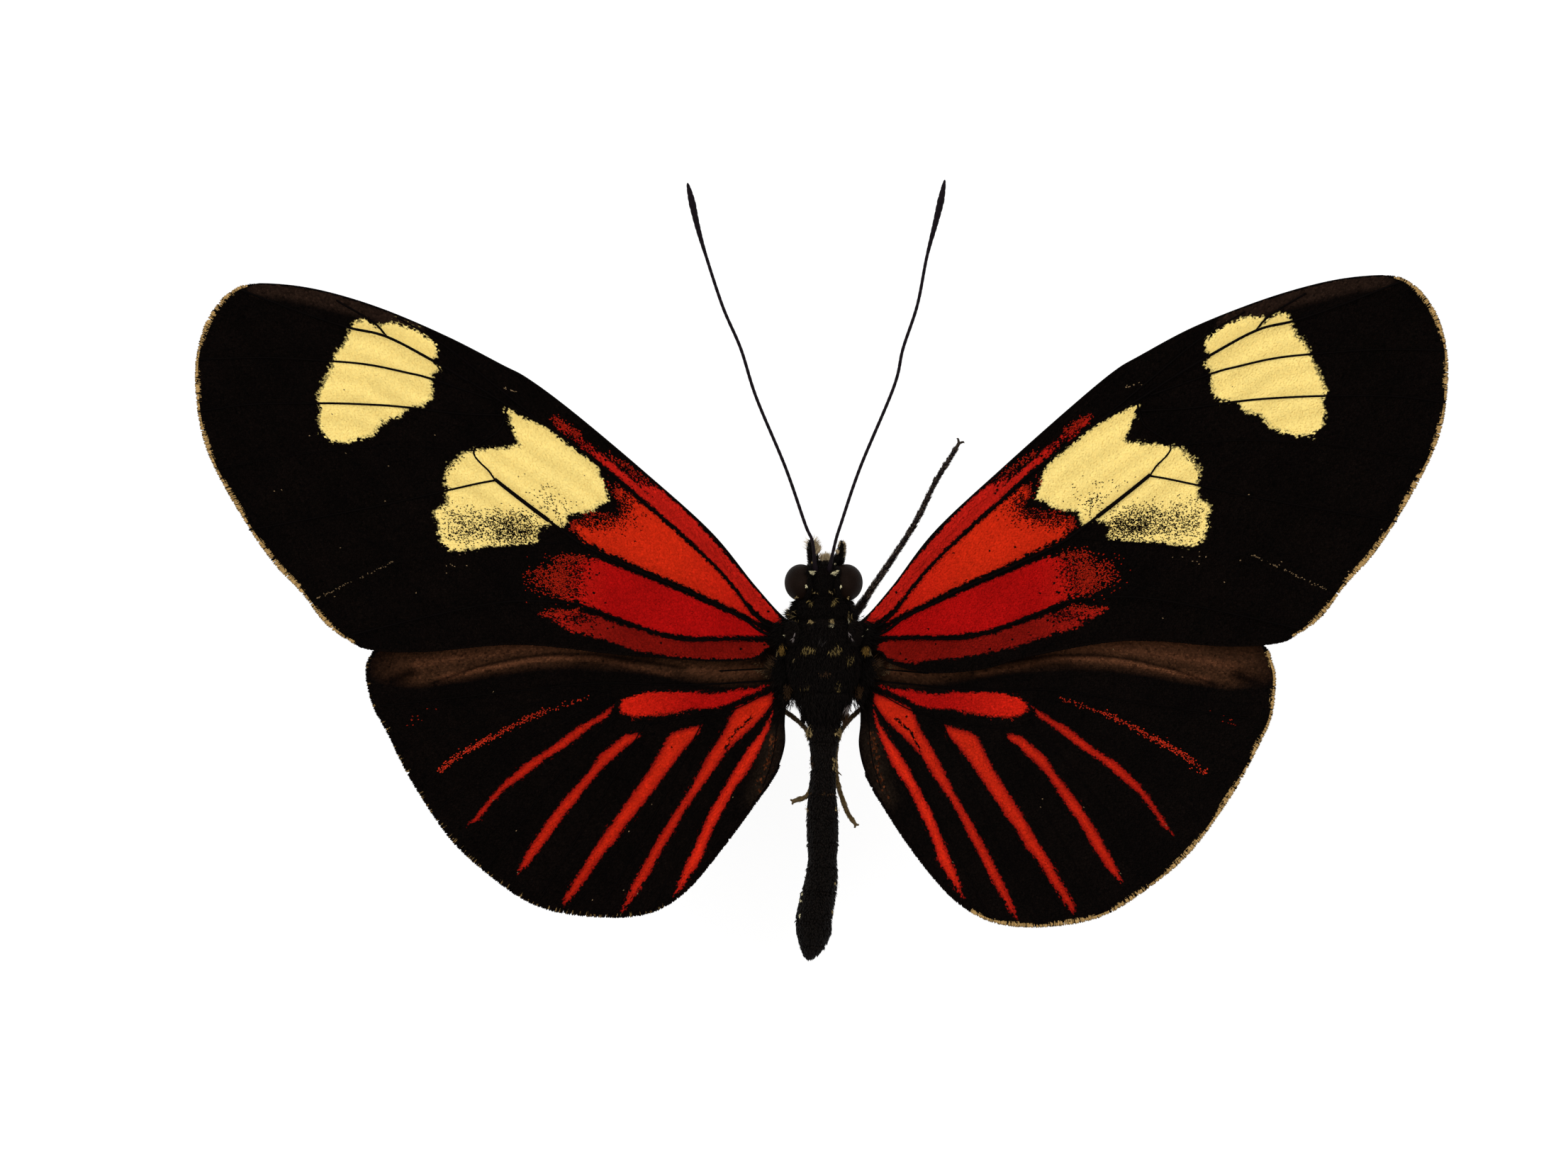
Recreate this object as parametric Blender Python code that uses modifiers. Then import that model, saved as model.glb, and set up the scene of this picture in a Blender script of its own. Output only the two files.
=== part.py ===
"""A crimson-patched longwing butterfly with its wings spread, life size, on a small display stand.

The part is in metres with +Z up. +Y runs towards the head and +X towards the insect's right side.
The origin is on the underside of the stand, straight below the middle of the thorax.
Lengths are named in millimetres and multiplied by MM where a mesh is made.
"""
import math

import bpy
import bmesh
from mathutils import Matrix, Vector
from mathutils.geometry import delaunay_2d_cdt, intersect_point_line

MM = 0.001

# Driving sizes, in millimetres
BODY_HEIGHT = 20.0
GAP = 0.3
MEMBRANE = 0.5
VEIN_RIDGE = 0.9
WING_ROOT_HEIGHT = 0.6
WING_RISE = 0.05
WING_DROOP = 1.2
WING_DROOP_SPAN = 20.0
WING_LAP = 1.25
EDGE_STEP = 1.5
VEIN_STEP = 1.8
FILL_STEP = 2.4
FILL_CLEARANCE = 0.85
FILL_REACH = 40.0
MERGE_DISTANCE = 0.05
TURN_FORE_RIGHT = math.radians(0.9)
TURN_HIND_RIGHT = math.radians(-2.2)
FORE_HINGE = (2.5, 0.5)
HIND_HINGE = (2.5, -2.5)

# Leg, feeler and palp radii, in millimetres
FEELER_RADIUS = 0.25
CLUB_RADIUS = 0.29
CLAW_RADIUS = 0.12
TARSUS_RADIUS = 0.25
TIBIA_RADIUS = 0.27
FEMUR_RADIUS = 0.33

# Stand sizes, in millimetres
STAND_PAD_RADIUS = 7.0
STAND_PAD_PLACE = 10.5
STAND_BAR_HALF = 2.0
STAND_BLEND = 6
STAND_STEPS = 40
STAND_THICKNESS = 3.0
STAND_EDGE = 0.6
ROD_RADIUS = 0.5
ROD_SETBACK = 0.9
TUBE_WELD = 0.01
SOFT_EDGE = 0.1
SHARP_ANGLE = math.radians(40)

# The forewing's outline, out to its fringe, from the root along the front edge and back
FOREWING_OUTLINE = [
    (1.0, 0.9), (2.2, 1.3), (4.0, 3.25), (6.5, 6.3), (10.5, 9.9), (14.5, 13.25), (17.0, 15.1),
    (18.5, 15.9), (21.5, 17.45), (25.0, 18.97), (28.0, 19.95), (30.5, 20.45), (32.9, 20.55),
    (34.0, 20.15), (34.9, 19.3), (35.7, 17.8), (36.1, 15.5), (35.8, 12.3), (34.95, 9.9), (33.25, 6.9),
    (31.6, 4.5), (30.0, 2.8), (28.6, 1.0), (27.2, 0.0), (26.0, -0.5), (23.0, -0.62), (17.5, -0.2),
    (12.0, -0.75), (6.0, -1.15), (3.8, -0.95), (3.0, -0.35), (1.0, -0.3)]

# The hindwing's outline, from the front of its root along the part that the forewing covers
HINDWING_OUTLINE = [
    (1.0, -0.5), (3.0, -0.05), (5.5, 0.05), (8.0, 0.3), (13.0, 0.7), (18.0, 0.8), (22.0, 0.7), (25.0, 0.25),
    (26.0, -0.7), (26.33, -1.7), (26.0, -3.5), (25.1, -5.25), (24.0, -7.5), (22.4, -10.1),
    (21.0, -11.9), (19.0, -13.65), (17.0, -15.0), (15.0, -15.65), (12.3, -15.9), (10.0, -15.65),
    (8.0, -14.5), (6.0, -12.2), (4.0, -9.5), (2.7, -7.6), (2.15, -6.0), (2.15, -4.6), (1.95, -3.5),
    (1.0, -3.0)]

# Each vein is its half width and the points that it runs through
FOREWING_VEINS = [
    (0.25, [(2.5, 0.95), (6.0, 4.9), (10.0, 9.0), (14.0, 12.4), (17.3, 15.0)]),
    (0.30, [(2.5, 0.55), (5.0, 2.9), (8.0, 6.0), (11.7, 9.25), (18.2, 13.6), (22.4, 16.1),
            (27.2, 18.0), (32.6, 19.6)]),
    (0.22, [(16.0, 12.4), (19.0, 14.8), (24.2, 17.9)]),
    (0.22, [(19.0, 13.9), (24.0, 15.45), (28.0, 16.08), (35.0, 16.2)]),
    (0.22, [(18.4, 12.9), (24.0, 13.45), (28.9, 13.68), (34.9, 13.3)]),
    (0.22, [(18.2, 13.5), (18.6, 12.2), (20.1, 10.95), (18.9, 9.3)]),
    (0.22, [(20.1, 10.95), (24.0, 11.2), (29.0, 10.9), (34.0, 10.1)]),
    (0.30, [(2.7, 0.2), (5.5, 1.75), (9.5, 3.58), (13.5, 5.38), (16.7, 7.7), (18.9, 9.25),
            (21.5, 8.7), (26.0, 7.7), (32.2, 6.5)]),
    (0.22, [(14.3, 5.85), (16.6, 5.55), (20.0, 5.2), (25.0, 4.4), (29.0, 2.8)]),
    (0.30, [(2.9, 0.05), (7.5, 0.04), (10.5, 0.75), (14.5, 2.2), (18.0, 2.3), (22.0, 1.6), (26.8, 0.5)])]

HINDWING_VEINS = [
    (0.25, [(2.5, -1.7), (6.0, -1.7), (12.0, -1.2), (18.0, -0.8), (25.2, -1.2)]),
    (0.25, [(2.7, -2.3), (8.0, -2.5), (13.0, -2.4), (19.0, -3.0), (25.3, -3.7)]),
    (0.22, [(12.3, -2.6), (18.0, -3.9), (23.9, -6.1)]),
    (0.22, [(12.2, -3.3), (17.0, -5.6), (21.8, -9.4)]),
    (0.22, [(11.9, -4.3), (15.5, -8.0), (18.9, -12.6)]),
    (0.22, [(10.2, -4.65), (12.6, -8.7), (16.0, -14.4)]),
    (0.22, [(6.8, -4.2), (9.3, -9.2), (12.7, -15.0)]),
    (0.25, [(2.6, -2.9), (5.2, -3.95), (8.0, -4.4), (10.2, -4.65), (11.9, -4.3), (12.3, -2.7)]),
    (0.25, [(2.5, -3.5), (5.4, -7.5), (9.7, -14.8)]),
    (0.20, [(2.4, -4.2), (2.8, -6.3), (3.4, -7.9)])]

# Rings of a body part: place along Y, then X and Z of its centre, half width and half height
THORAX_RINGS = [
    (1.70, 0.0, 0.0, 0.30, 0.35), (1.64, 0.0, 0.0, 0.85, 0.95), (1.40, 0.0, 0.0, 1.35, 1.50),
    (0.90, 0.0, 0.0, 1.85, 2.00), (0.20, 0.0, 0.05, 2.12, 2.25), (-0.80, 0.0, 0.05, 2.20, 2.32),
    (-1.80, 0.0, 0.05, 2.10, 2.18), (-2.45, 0.0, 0.0, 1.92, 1.95), (-2.75, 0.0, -0.1, 1.80, 1.72),
    (-3.05, 0.0, -0.05, 1.76, 1.74), (-3.45, 0.0, -0.05, 1.58, 1.60), (-3.90, 0.0, -0.1, 1.30, 1.32),
    (-4.20, 0.0, -0.1, 1.00, 1.00), (-4.30, 0.0, -0.1, 0.45, 0.45)]
PROTHORAX_RINGS = [
    (2.62, 0.0, -0.1, 0.45, 0.50), (2.52, 0.0, -0.1, 1.00, 0.95), (2.30, 0.0, -0.1, 1.38, 1.20),
    (2.00, 0.0, -0.1, 1.62, 1.38), (1.60, 0.0, -0.1, 1.72, 1.50), (1.30, 0.0, -0.1, 1.60, 1.45),
    (1.15, 0.0, -0.1, 1.20, 1.20)]
HEAD_RINGS = [
    (4.72, 0.0, -0.25, 0.22, 0.25), (4.62, 0.0, -0.22, 0.52, 0.60), (4.35, 0.0, -0.2, 0.76, 0.90),
    (3.95, 0.0, -0.15, 0.85, 1.08), (3.45, 0.0, -0.1, 0.86, 1.15), (3.05, 0.0, -0.1, 0.82, 1.08),
    (2.80, 0.0, -0.1, 0.66, 0.88), (2.72, 0.0, -0.1, 0.35, 0.45)]
ABDOMEN_RINGS = [
    (-4.65, 0.02, -0.1, 0.55, 0.55), (-4.80, 0.02, -0.1, 0.88, 0.88), (-5.7, 0.0, -0.1, 0.98, 0.98),
    (-6.3, -0.02, -0.1, 0.78, 0.85), (-7.3, -0.03, -0.1, 0.72, 0.82), (-8.7, -0.08, -0.12, 0.82, 0.90),
    (-10.1, -0.08, -0.15, 0.95, 0.98), (-11.4, -0.05, -0.18, 0.94, 0.98), (-12.4, -0.07, -0.2, 0.84, 0.92),
    (-13.5, -0.12, -0.22, 0.96, 0.98), (-14.6, -0.34, -0.25, 1.06, 1.02), (-15.8, -0.57, -0.28, 1.09, 1.02),
    (-16.7, -0.56, -0.3, 1.05, 0.98), (-17.4, -0.63, -0.3, 0.84, 0.8), (-18.0, -0.76, -0.3, 0.48, 0.46),
    (-18.35, -0.85, -0.3, 0.16, 0.16)]
ABDOMEN_JOINTS = [-5.7, -7.3, -8.75, -10.1, -11.5, -12.9, -14.3, -15.9, -17.4]
JOINT_DEPTH = 0.07
JOINT_REACH = 0.14
THORAX_SIDES = 20
ABDOMEN_SIDES = 16
HEAD_SIDES = 16

TEGULA_PLACE = (1.72, 0.55, 1.5)
TEGULA_RADII = (0.5, 0.75, 0.3)
EYE_RADII = (0.95, 1.08, 1.12)
EYE_PLACE = (1.31, 3.38, -0.08)
COIL_PLACE = (0.0, 4.2, -1.82)
COIL_RADIUS = 0.62
COIL_WIDTH = 0.5

# The two sides of the head and the legs lie a little differently, so each side has its own points
FEELER_ROUTES = {
    "left": [(-0.42, 3.9, 0.3), (-0.5, 4.4, 0.85), (-0.65, 5.75, 1.1), (-1.06, 6.72, 1.15),
             (-2.2, 10.0, 1.35), (-3.87, 14.0, 1.7), (-4.76, 16.8, 1.9), (-5.79, 19.2, 2.1),
             (-6.78, 22.2, 2.3), (-7.24, 23.8, 2.4), (-7.78, 26.27, 2.5)],
    "right": [(0.32, 3.9, 0.3), (0.38, 4.4, 0.85), (0.68, 5.75, 1.1), (0.98, 6.72, 1.15),
              (2.1, 10.0, 1.35), (4.02, 14.6, 1.7), (4.55, 16.8, 1.9), (5.37, 19.3, 2.1),
              (5.9, 22.0, 2.3), (6.41, 24.0, 2.4), (6.95, 26.5, 2.5)]}
PALP_ROUTES = {
    "left": [(-0.5, 3.8, -0.8), (-0.66, 4.3, -1.2), (-0.7, 4.85, -0.95), (-0.7, 5.3, -0.55),
             (-0.7, 5.72, -0.15)],
    "right": [(0.55, 3.8, -0.8), (0.78, 4.3, -1.2), (0.92, 4.8, -0.95), (1.0, 5.25, -0.55),
              (1.05, 5.66, -0.15)]}
PALP_RADII = [0.25, 0.28, 0.3, 0.29, 0.2]
FORELEG_ROUTE = [(0.6, 2.0, -1.0), (0.8, 2.15, -1.75), (0.92, 2.7, -2.25), (0.95, 3.5, -2.4),
                 (0.85, 4.3, -2.55)]
LEG_ROUTES = {
    "midleg_right": [(0.85, 0.3, -1.7), (1.4, 1.1, -2.5), (2.15, 2.05, -2.75), (2.6, 2.75, -2.8),
                     (5.11, 6.54, -2.95), (6.43, 9.16, -3.05), (7.29, 10.55, -3.15), (7.82, 11.48, -3.3)],
    "midleg_left": [(-0.85, 0.3, -1.7), (-1.9, 0.8, -2.7), (-2.75, 0.75, -3.1), (-3.1, 0.1, -3.2),
                    (-4.2, -2.8, -3.5), (-5.0, -4.6, -3.7), (-5.6, -6.0, -3.9), (-5.9, -6.7, -4.1)],
    "hindleg_right": [(0.8, -1.9, -1.6), (2.2, -2.4, -2.5), (3.1, -2.8, -2.75), (2.75, -3.3, -2.6),
                      (0.95, -5.25, -1.95), (0.72, -7.6, -1.8), (1.29, -9.65, -1.8), (1.84, -10.59, -1.85)],
    "hindleg_left": [(-0.8, -1.9, -1.6), (-2.3, -2.5, -2.5), (-3.3, -3.0, -2.75), (-2.95, -3.5, -2.6),
                     (-1.0, -5.08, -1.95), (-0.5, -7.0, -1.8), (-0.85, -8.75, -1.8), (-1.74, -9.25, -1.85)]}
LEG_RADII = [FEMUR_RADIUS, FEMUR_RADIUS, FEMUR_RADIUS, TIBIA_RADIUS,
             TIBIA_RADIUS, TARSUS_RADIUS, TARSUS_RADIUS, CLAW_RADIUS]

BLACK = (0.013, 0.009, 0.007)
WING_BLACK = (0.02, 0.013, 0.009)
WING_RED = (0.42, 0.02, 0.012)
EYE_BROWN = (0.028, 0.014, 0.009)
LEG_BROWN = (0.09, 0.062, 0.03)
STAND_WHITE = (0.82, 0.82, 0.8)
STEEL = (0.62, 0.62, 0.6)


def material(name, colour, roughness, metallic=0.0):
    """A plain finish."""
    made = bpy.data.materials.new(name)
    made.use_nodes = True
    shader = made.node_tree.nodes["Principled BSDF"]
    shader.inputs["Base Color"].default_value = (*colour, 1.0)
    shader.inputs["Roughness"].default_value = roughness
    shader.inputs["Metallic"].default_value = metallic
    return made


def add_object(name, mesh, collection, parent, finish=None):
    """Put a mesh in the scene as a named object."""
    made = bpy.data.objects.new(name, mesh)
    collection.objects.link(made)
    made.parent = parent
    if finish is not None:
        mesh.materials.clear()
        mesh.materials.append(finish)
    mesh.shade_smooth()
    mesh.set_sharp_from_angle(angle=SHARP_ANGLE)
    return made


def mesh_from(build):
    """Make a mesh from a bmesh whose faces are turned outwards."""
    bmesh.ops.recalc_face_normals(build, faces=build.faces)
    mesh = bpy.data.meshes.new("shape")
    build.to_mesh(mesh)
    build.free()
    return mesh


def smooth_line(points, step, closed=False):
    """Read points about one step apart from a smooth curve through the given points."""
    knots = [Vector(point) for point in points]
    count = len(knots)
    spans = count if closed else count - 1
    line = []
    for index in range(spans):
        here = knots[index]
        there = knots[(index + 1) % count]
        before = knots[index - 1] if closed or index > 0 else 2 * here - there
        after_index = (index + 2) % count if closed else index + 2
        after = knots[after_index] if closed or index + 2 < count else 2 * there - here
        pieces = max(1, round((there - here).length / step))
        for piece in range(pieces):
            part = piece / pieces
            line.append(0.5 * (2 * here + (there - before) * part
                               + (2 * before - 5 * here + 4 * there - after) * part ** 2
                               + (3 * here - before - 3 * there + after) * part ** 3))
    if not closed:
        line.append(knots[-1])
    return line


def loft(rings, sides):
    """A closed round body through rings that stand square to Y."""
    build = bmesh.new()
    loops = []
    for along, across, up, half_width, half_height in rings:
        place = (Matrix.Translation(Vector((across, along, up)) * MM)
                 @ Matrix.Diagonal((half_width * MM, 1.0, half_height * MM, 1.0))
                 @ Matrix.Rotation(math.pi / 2, 4, "X"))
        loops.append(bmesh.ops.create_circle(build, segments=sides, radius=1.0, matrix=place)["verts"])
    for first, second in zip(loops, loops[1:]):
        for side in range(sides):
            other = (side + 1) % sides
            build.faces.new((first[side], first[other], second[other], second[side]))
    build.faces.new(loops[0])
    build.faces.new(loops[-1])
    return mesh_from(build)


def jointed_rings(rings, joints):
    """Rings of the abdomen, read from a smooth body and drawn in a little at each joint."""
    body = smooth_line([Vector(ring) for ring in rings], JOINT_REACH / 2)
    stops = [ring[0] for ring in rings[:2] + rings[-3:]]
    for joint in joints:
        stops += [joint - JOINT_REACH, joint, joint + JOINT_REACH]
    for first, second in zip(joints, joints[1:]):
        stops.append((first + second) / 2)
    result = []
    for stop in sorted(set(stops), reverse=True):
        along, across, up, half_width, half_height = min(body, key=lambda ring: abs(ring[0] - stop))
        draw_in = JOINT_DEPTH if stop in joints else 0.0
        result.append((along, across, up, half_width - draw_in, half_height - draw_in))
    return result


def tube(points, radii, step):
    """A closed round tube through points, as a mesh."""
    line = smooth_line([Vector((*point, radius)) for point, radius in zip(points, radii)], step)
    curve = bpy.data.curves.new("tube", "CURVE")
    curve.dimensions = "3D"
    curve.bevel_depth = MM
    curve.bevel_resolution = 2
    curve.use_fill_caps = True
    spline = curve.splines.new("POLY")
    spline.points.add(len(line) - 1)
    for point, stop in zip(spline.points, line):
        point.co = (stop[0] * MM, stop[1] * MM, stop[2] * MM, 1.0)
        point.radius = stop[3]
    holder = bpy.data.objects.new("tube", curve)
    bpy.context.scene.collection.objects.link(holder)
    evaluated = holder.evaluated_get(bpy.context.evaluated_depsgraph_get())
    mesh = bpy.data.meshes.new_from_object(evaluated)
    bpy.data.objects.remove(holder)
    build = bmesh.new()
    build.from_mesh(mesh)
    bmesh.ops.remove_doubles(build, verts=build.verts, dist=TUBE_WELD * MM)
    build.to_mesh(mesh)
    build.free()
    return mesh


def ball(place, radii, across, rings):
    """An egg-shaped solid."""
    build = bmesh.new()
    matrix = Matrix.Translation(Vector(place) * MM) @ Matrix.Diagonal((*[r * MM for r in radii], 1.0))
    bmesh.ops.create_uvsphere(build, u_segments=across, v_segments=rings, radius=1.0, matrix=matrix)
    return mesh_from(build)


def disc(place, radius, thickness, axis_turn, segments):
    """A round disc, turned from +Z by axis_turn."""
    build = bmesh.new()
    matrix = Matrix.Translation(Vector(place) * MM) @ axis_turn
    bmesh.ops.create_cone(build, cap_ends=True, segments=segments, radius1=radius * MM,
                          radius2=radius * MM, depth=thickness * MM, matrix=matrix)
    return mesh_from(build)


def fused(meshes):
    """One mesh made by joining overlapping closed meshes."""
    pieces = bpy.data.collections.new("pieces")
    holders = [bpy.data.objects.new("piece", mesh) for mesh in meshes]
    bpy.context.scene.collection.objects.link(holders[0])
    for holder in holders[1:]:
        pieces.objects.link(holder)
    join = holders[0].modifiers.new("join", "BOOLEAN")
    join.operation = "UNION"
    join.operand_type = "COLLECTION"
    join.collection = pieces
    evaluated = holders[0].evaluated_get(bpy.context.evaluated_depsgraph_get())
    mesh = bpy.data.meshes.new_from_object(evaluated)
    for holder in holders:
        bpy.data.objects.remove(holder)
    bpy.data.collections.remove(pieces)
    return mesh


def swollen(name, mesh, cutters, parent):
    """A cutter that is one gap larger all over than the mesh it is made from."""
    cutter = add_object(name, mesh.copy(), cutters, parent)
    swell = cutter.modifiers.new("swell", "DISPLACE")
    swell.strength = GAP * MM
    swell.mid_level = 0.0
    cutter.hide_render = True
    cutter.display_type = "WIRE"
    return cutter


def cut(solid, *shapes):
    """Keep a solid one gap clear of each shape that it grows from."""
    for shape in shapes:
        trim = solid.modifiers.new("cut_" + shape.name, "BOOLEAN")
        trim.operation = "DIFFERENCE"
        trim.object = shape


def line_distance(point, line):
    """The least distance from a point to a chain of points."""
    best = math.inf
    for start, end in zip(line, line[1:]):
        foot, part = intersect_point_line(point, start, end)
        foot = start if part < 0 else end if part > 1 else foot
        best = min(best, (Vector(foot) - point).length)
    return best


def vein_lines(half_width, knots):
    """A vein's middle line and the two lines where it meets the membrane."""
    middle = smooth_line(knots, VEIN_STEP)
    sides = ([middle[0]], [middle[0]])
    for before, here, after in zip(middle, middle[1:], middle[2:]):
        along = (after - before).normalized()
        across = Vector((-along.y, along.x)) * half_width
        sides[0].append(here + across)
        sides[1].append(here - across)
    for side in sides:
        side.append(middle[-1])
    return middle, sides


def wing_height(across, along, lap):
    """Height of the middle of a wing over the body's axis: it rises outwards and droops fore and aft."""
    return (WING_ROOT_HEIGHT - lap + WING_RISE * (across - FORE_HINGE[0])
            - WING_DROOP * (along / WING_DROOP_SPAN) ** 2)


def wing(outline, veins, lap, side, turn, hinge):
    """A wing's middle sheet, triangulated along its veins, with the veins weighted as ridges."""
    edge = smooth_line(outline, EDGE_STEP, closed=True)
    points = list(edge)
    edges = [(index, (index + 1) % len(edge)) for index in range(len(edge))]
    lines = [(half_width, *vein_lines(half_width, knots)) for half_width, knots in veins]
    for half_width, middle, sides in lines:
        for line in (middle, *sides):
            start = len(points)
            points += line
            edges += [(index, index + 1) for index in range(start, len(points) - 1)]
    rim = edge + edge[:1]
    rows = int(FILL_REACH / FILL_STEP)
    for row in range(-rows, rows):
        for column in range(2 * rows):
            spot = Vector(((column + 0.5 * (row % 2)) * FILL_STEP, row * FILL_STEP * math.sqrt(0.75)))
            clear = min([line_distance(spot, rim)] + [line_distance(spot, line[1]) for line in lines])
            if clear > FILL_CLEARANCE:
                points.append(spot)
    flat, _, faces, *_ = delaunay_2d_cdt(points, edges, [list(range(len(edge)))], 1, MERGE_DISTANCE)
    build = bmesh.new()
    weight_layer = build.verts.layers.deform.verify()
    swing = Matrix.Rotation(turn, 2)
    pivot = Vector(hinge)
    verts = []
    for spot in flat:
        place = pivot + swing @ (spot - pivot)
        vert = build.verts.new((side * place.x * MM, place.y * MM, wing_height(spot.x, spot.y, lap) * MM))
        ridge = max(1.0 - line_distance(spot, middle) / half_width for half_width, middle, _ in lines)
        vert[weight_layer][0] = min(1.0, max(0.0, ridge))
        verts.append(vert)
    for face in faces:
        build.faces.new([verts[index] for index in face])
    bmesh.ops.recalc_face_normals(build, faces=build.faces)
    if sum(face.normal.z for face in build.faces) < 0:
        bmesh.ops.reverse_faces(build, faces=build.faces)
    mesh = bpy.data.meshes.new("wing")
    build.to_mesh(mesh)
    build.free()
    return mesh


def thicken(sheet):
    """Give a wing its thickness, more along its veins than between them."""
    sheet.vertex_groups.new(name="veins")
    skin = sheet.modifiers.new("membrane", "SOLIDIFY")
    skin.thickness = VEIN_RIDGE * MM
    skin.offset = 0.0
    skin.vertex_group = "veins"
    skin.thickness_vertex_group = MEMBRANE / VEIN_RIDGE


def mirrored(points, side):
    """The same points on the left or the right."""
    return [(side * point[0], *point[1:]) for point in points]


def build_body(group, cutters, body):
    """The head, thorax and abdomen, each one gap clear of its neighbours.

    The thorax carries a small lobe over the root of each forewing.
    """
    black = material("body_black", BLACK, 0.8)
    eye_brown = material("eye_brown", EYE_BROWN, 0.25)
    trunk = loft(THORAX_RINGS, THORAX_SIDES)
    lobes = [ball((side * TEGULA_PLACE[0], *TEGULA_PLACE[1:]), TEGULA_RADII, 12, 8) for side in (-1, 1)]
    shapes = {
        "thorax": fused([trunk, *lobes]),
        "prothorax": loft(PROTHORAX_RINGS, THORAX_SIDES),
        "head": loft(HEAD_RINGS, HEAD_SIDES),
        "abdomen": loft(jointed_rings(ABDOMEN_RINGS, ABDOMEN_JOINTS), ABDOMEN_SIDES)}
    nodes = {name: add_object(name, mesh, group, body, black) for name, mesh in shapes.items()}
    around = {name: swollen("around_" + name, shape, cutters, body)
              for name, shape in (("thorax", trunk), ("lobe_left", lobes[0]), ("lobe_right", lobes[1]),
                                  ("prothorax", shapes["prothorax"]), ("head", shapes["head"]))}
    for name, side in (("left", -1), ("right", 1)):
        place = (side * EYE_PLACE[0], *EYE_PLACE[1:])
        eye_shape = ball(place, EYE_RADII, 20, 12)
        eye = add_object("eye_" + name, eye_shape, group, body, eye_brown)
        around_eye = swollen("around_eye_" + name, eye_shape, cutters, body)
        cut(eye, around["head"])
        cut(nodes["prothorax"], around_eye)
    cut(nodes["prothorax"], around["thorax"], around["head"])
    return around


def build_mouth(group, body, around):
    """The two palps and the coiled tongue under the head."""
    black = material("palp_black", BLACK, 0.7)
    for name, route in PALP_ROUTES.items():
        palp = add_object("palp_" + name, tube(route, PALP_RADII, 0.35), group, body, black)
        cut(palp, around["head"])
    turn = Matrix.Rotation(math.pi / 2, 4, "Y")
    coil = add_object("proboscis", disc(COIL_PLACE, COIL_RADIUS, COIL_WIDTH, turn, 24), group, body, black)
    soften = coil.modifiers.new("soften", "BEVEL")
    soften.width = SOFT_EDGE * MM
    soften.segments = 2
    cut(coil, around["head"])


def build_feelers(group, body, around):
    """The two feelers, with their clubs."""
    black = material("feeler_black", BLACK, 0.5)
    for name, route in FEELER_ROUTES.items():
        radii = [FEELER_RADIUS] * (len(route) - 2) + [CLUB_RADIUS, CLAW_RADIUS]
        feeler = add_object("antenna_" + name, tube(route, radii, 1.6), group, body, black)
        cut(feeler, around["head"])


def build_legs(group, body, around):
    """The four walking legs and the two small folded forelegs."""
    brown = material("leg_brown", LEG_BROWN, 0.6)
    for name, side in (("left", -1), ("right", 1)):
        route = mirrored(FORELEG_ROUTE, side)
        shape = tube(route, [0.25, 0.25, 0.25, 0.25, CLAW_RADIUS], 0.4)
        foreleg = add_object("foreleg_" + name, shape, group, body, brown)
        cut(foreleg, around["prothorax"])
    for name, route in LEG_ROUTES.items():
        leg = add_object(name, tube(route, LEG_RADII, 0.8), group, body, brown)
        cut(leg, around["thorax"])


def build_wings(group, body, around):
    """The forewings and, under their back edges, the hindwings."""
    black = material("forewing_black", WING_BLACK, 0.7)
    red = material("hindwing_red", WING_RED, 0.7)
    for name, side in (("left", -1), ("right", 1)):
        fore_turn = TURN_FORE_RIGHT if side > 0 else 0.0
        hind_turn = TURN_HIND_RIGHT if side > 0 else 0.0
        fore_sheet = wing(FOREWING_OUTLINE, FOREWING_VEINS, 0.0, side, fore_turn, FORE_HINGE)
        hind_sheet = wing(HINDWING_OUTLINE, HINDWING_VEINS, WING_LAP, side, hind_turn, HIND_HINGE)
        forewing = add_object("forewing_" + name, fore_sheet, group, body, black)
        hindwing = add_object("hindwing_" + name, hind_sheet, group, body, red)
        thicken(forewing)
        thicken(hindwing)
        cut(forewing, around["thorax"], around["lobe_" + name])
        cut(hindwing, around["thorax"])


def stand_half_depth(across):
    """Half the depth of the base at a distance from its middle: two round pads joined by a bar."""
    pad = math.sqrt(max(0.0, STAND_PAD_RADIUS ** 2 - (abs(across) - STAND_PAD_PLACE) ** 2))
    if abs(across) >= STAND_PAD_PLACE:
        return pad
    return (pad ** STAND_BLEND + STAND_BAR_HALF ** STAND_BLEND) ** (1 / STAND_BLEND)


def build_stand(group, body, around):
    """A flat base of two round pads and a bar, and one short rod up to the underside of the thorax."""
    white = material("stand_white", STAND_WHITE, 0.4)
    steel = material("stand_steel", STEEL, 0.3, 1.0)
    reach = STAND_PAD_PLACE + STAND_PAD_RADIUS
    stops = [-reach * math.cos(math.pi * step / STAND_STEPS) for step in range(1, STAND_STEPS)]
    front = [(across, stand_half_depth(across)) for across in stops]
    back = [(across, -depth) for across, depth in reversed(front)]
    build = bmesh.new()
    rims = []
    for height in (0.0, STAND_THICKNESS):
        spots = [(-reach, 0.0), *front, (reach, 0.0), *back]
        rims.append([build.verts.new((x * MM, (y - ROD_SETBACK) * MM, height * MM)) for x, y in spots])
        build.faces.new(rims[-1])
    for index in range(len(rims[0])):
        after = (index + 1) % len(rims[0])
        build.faces.new((rims[0][index], rims[0][after], rims[1][after], rims[1][index]))
    base = add_object("stand_base", mesh_from(build), group, None, white)
    round_edge = base.modifiers.new("round_edge", "BEVEL")
    round_edge.width = STAND_EDGE * MM
    round_edge.segments = 2
    foot = STAND_THICKNESS + GAP - BODY_HEIGHT
    rod_shape = disc((0.0, -ROD_SETBACK, foot / 2), ROD_RADIUS, -foot, Matrix.Identity(4), 16)
    rod = add_object("stand_rod", rod_shape, group, body, steel)
    cut(rod, around["thorax"])


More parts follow.
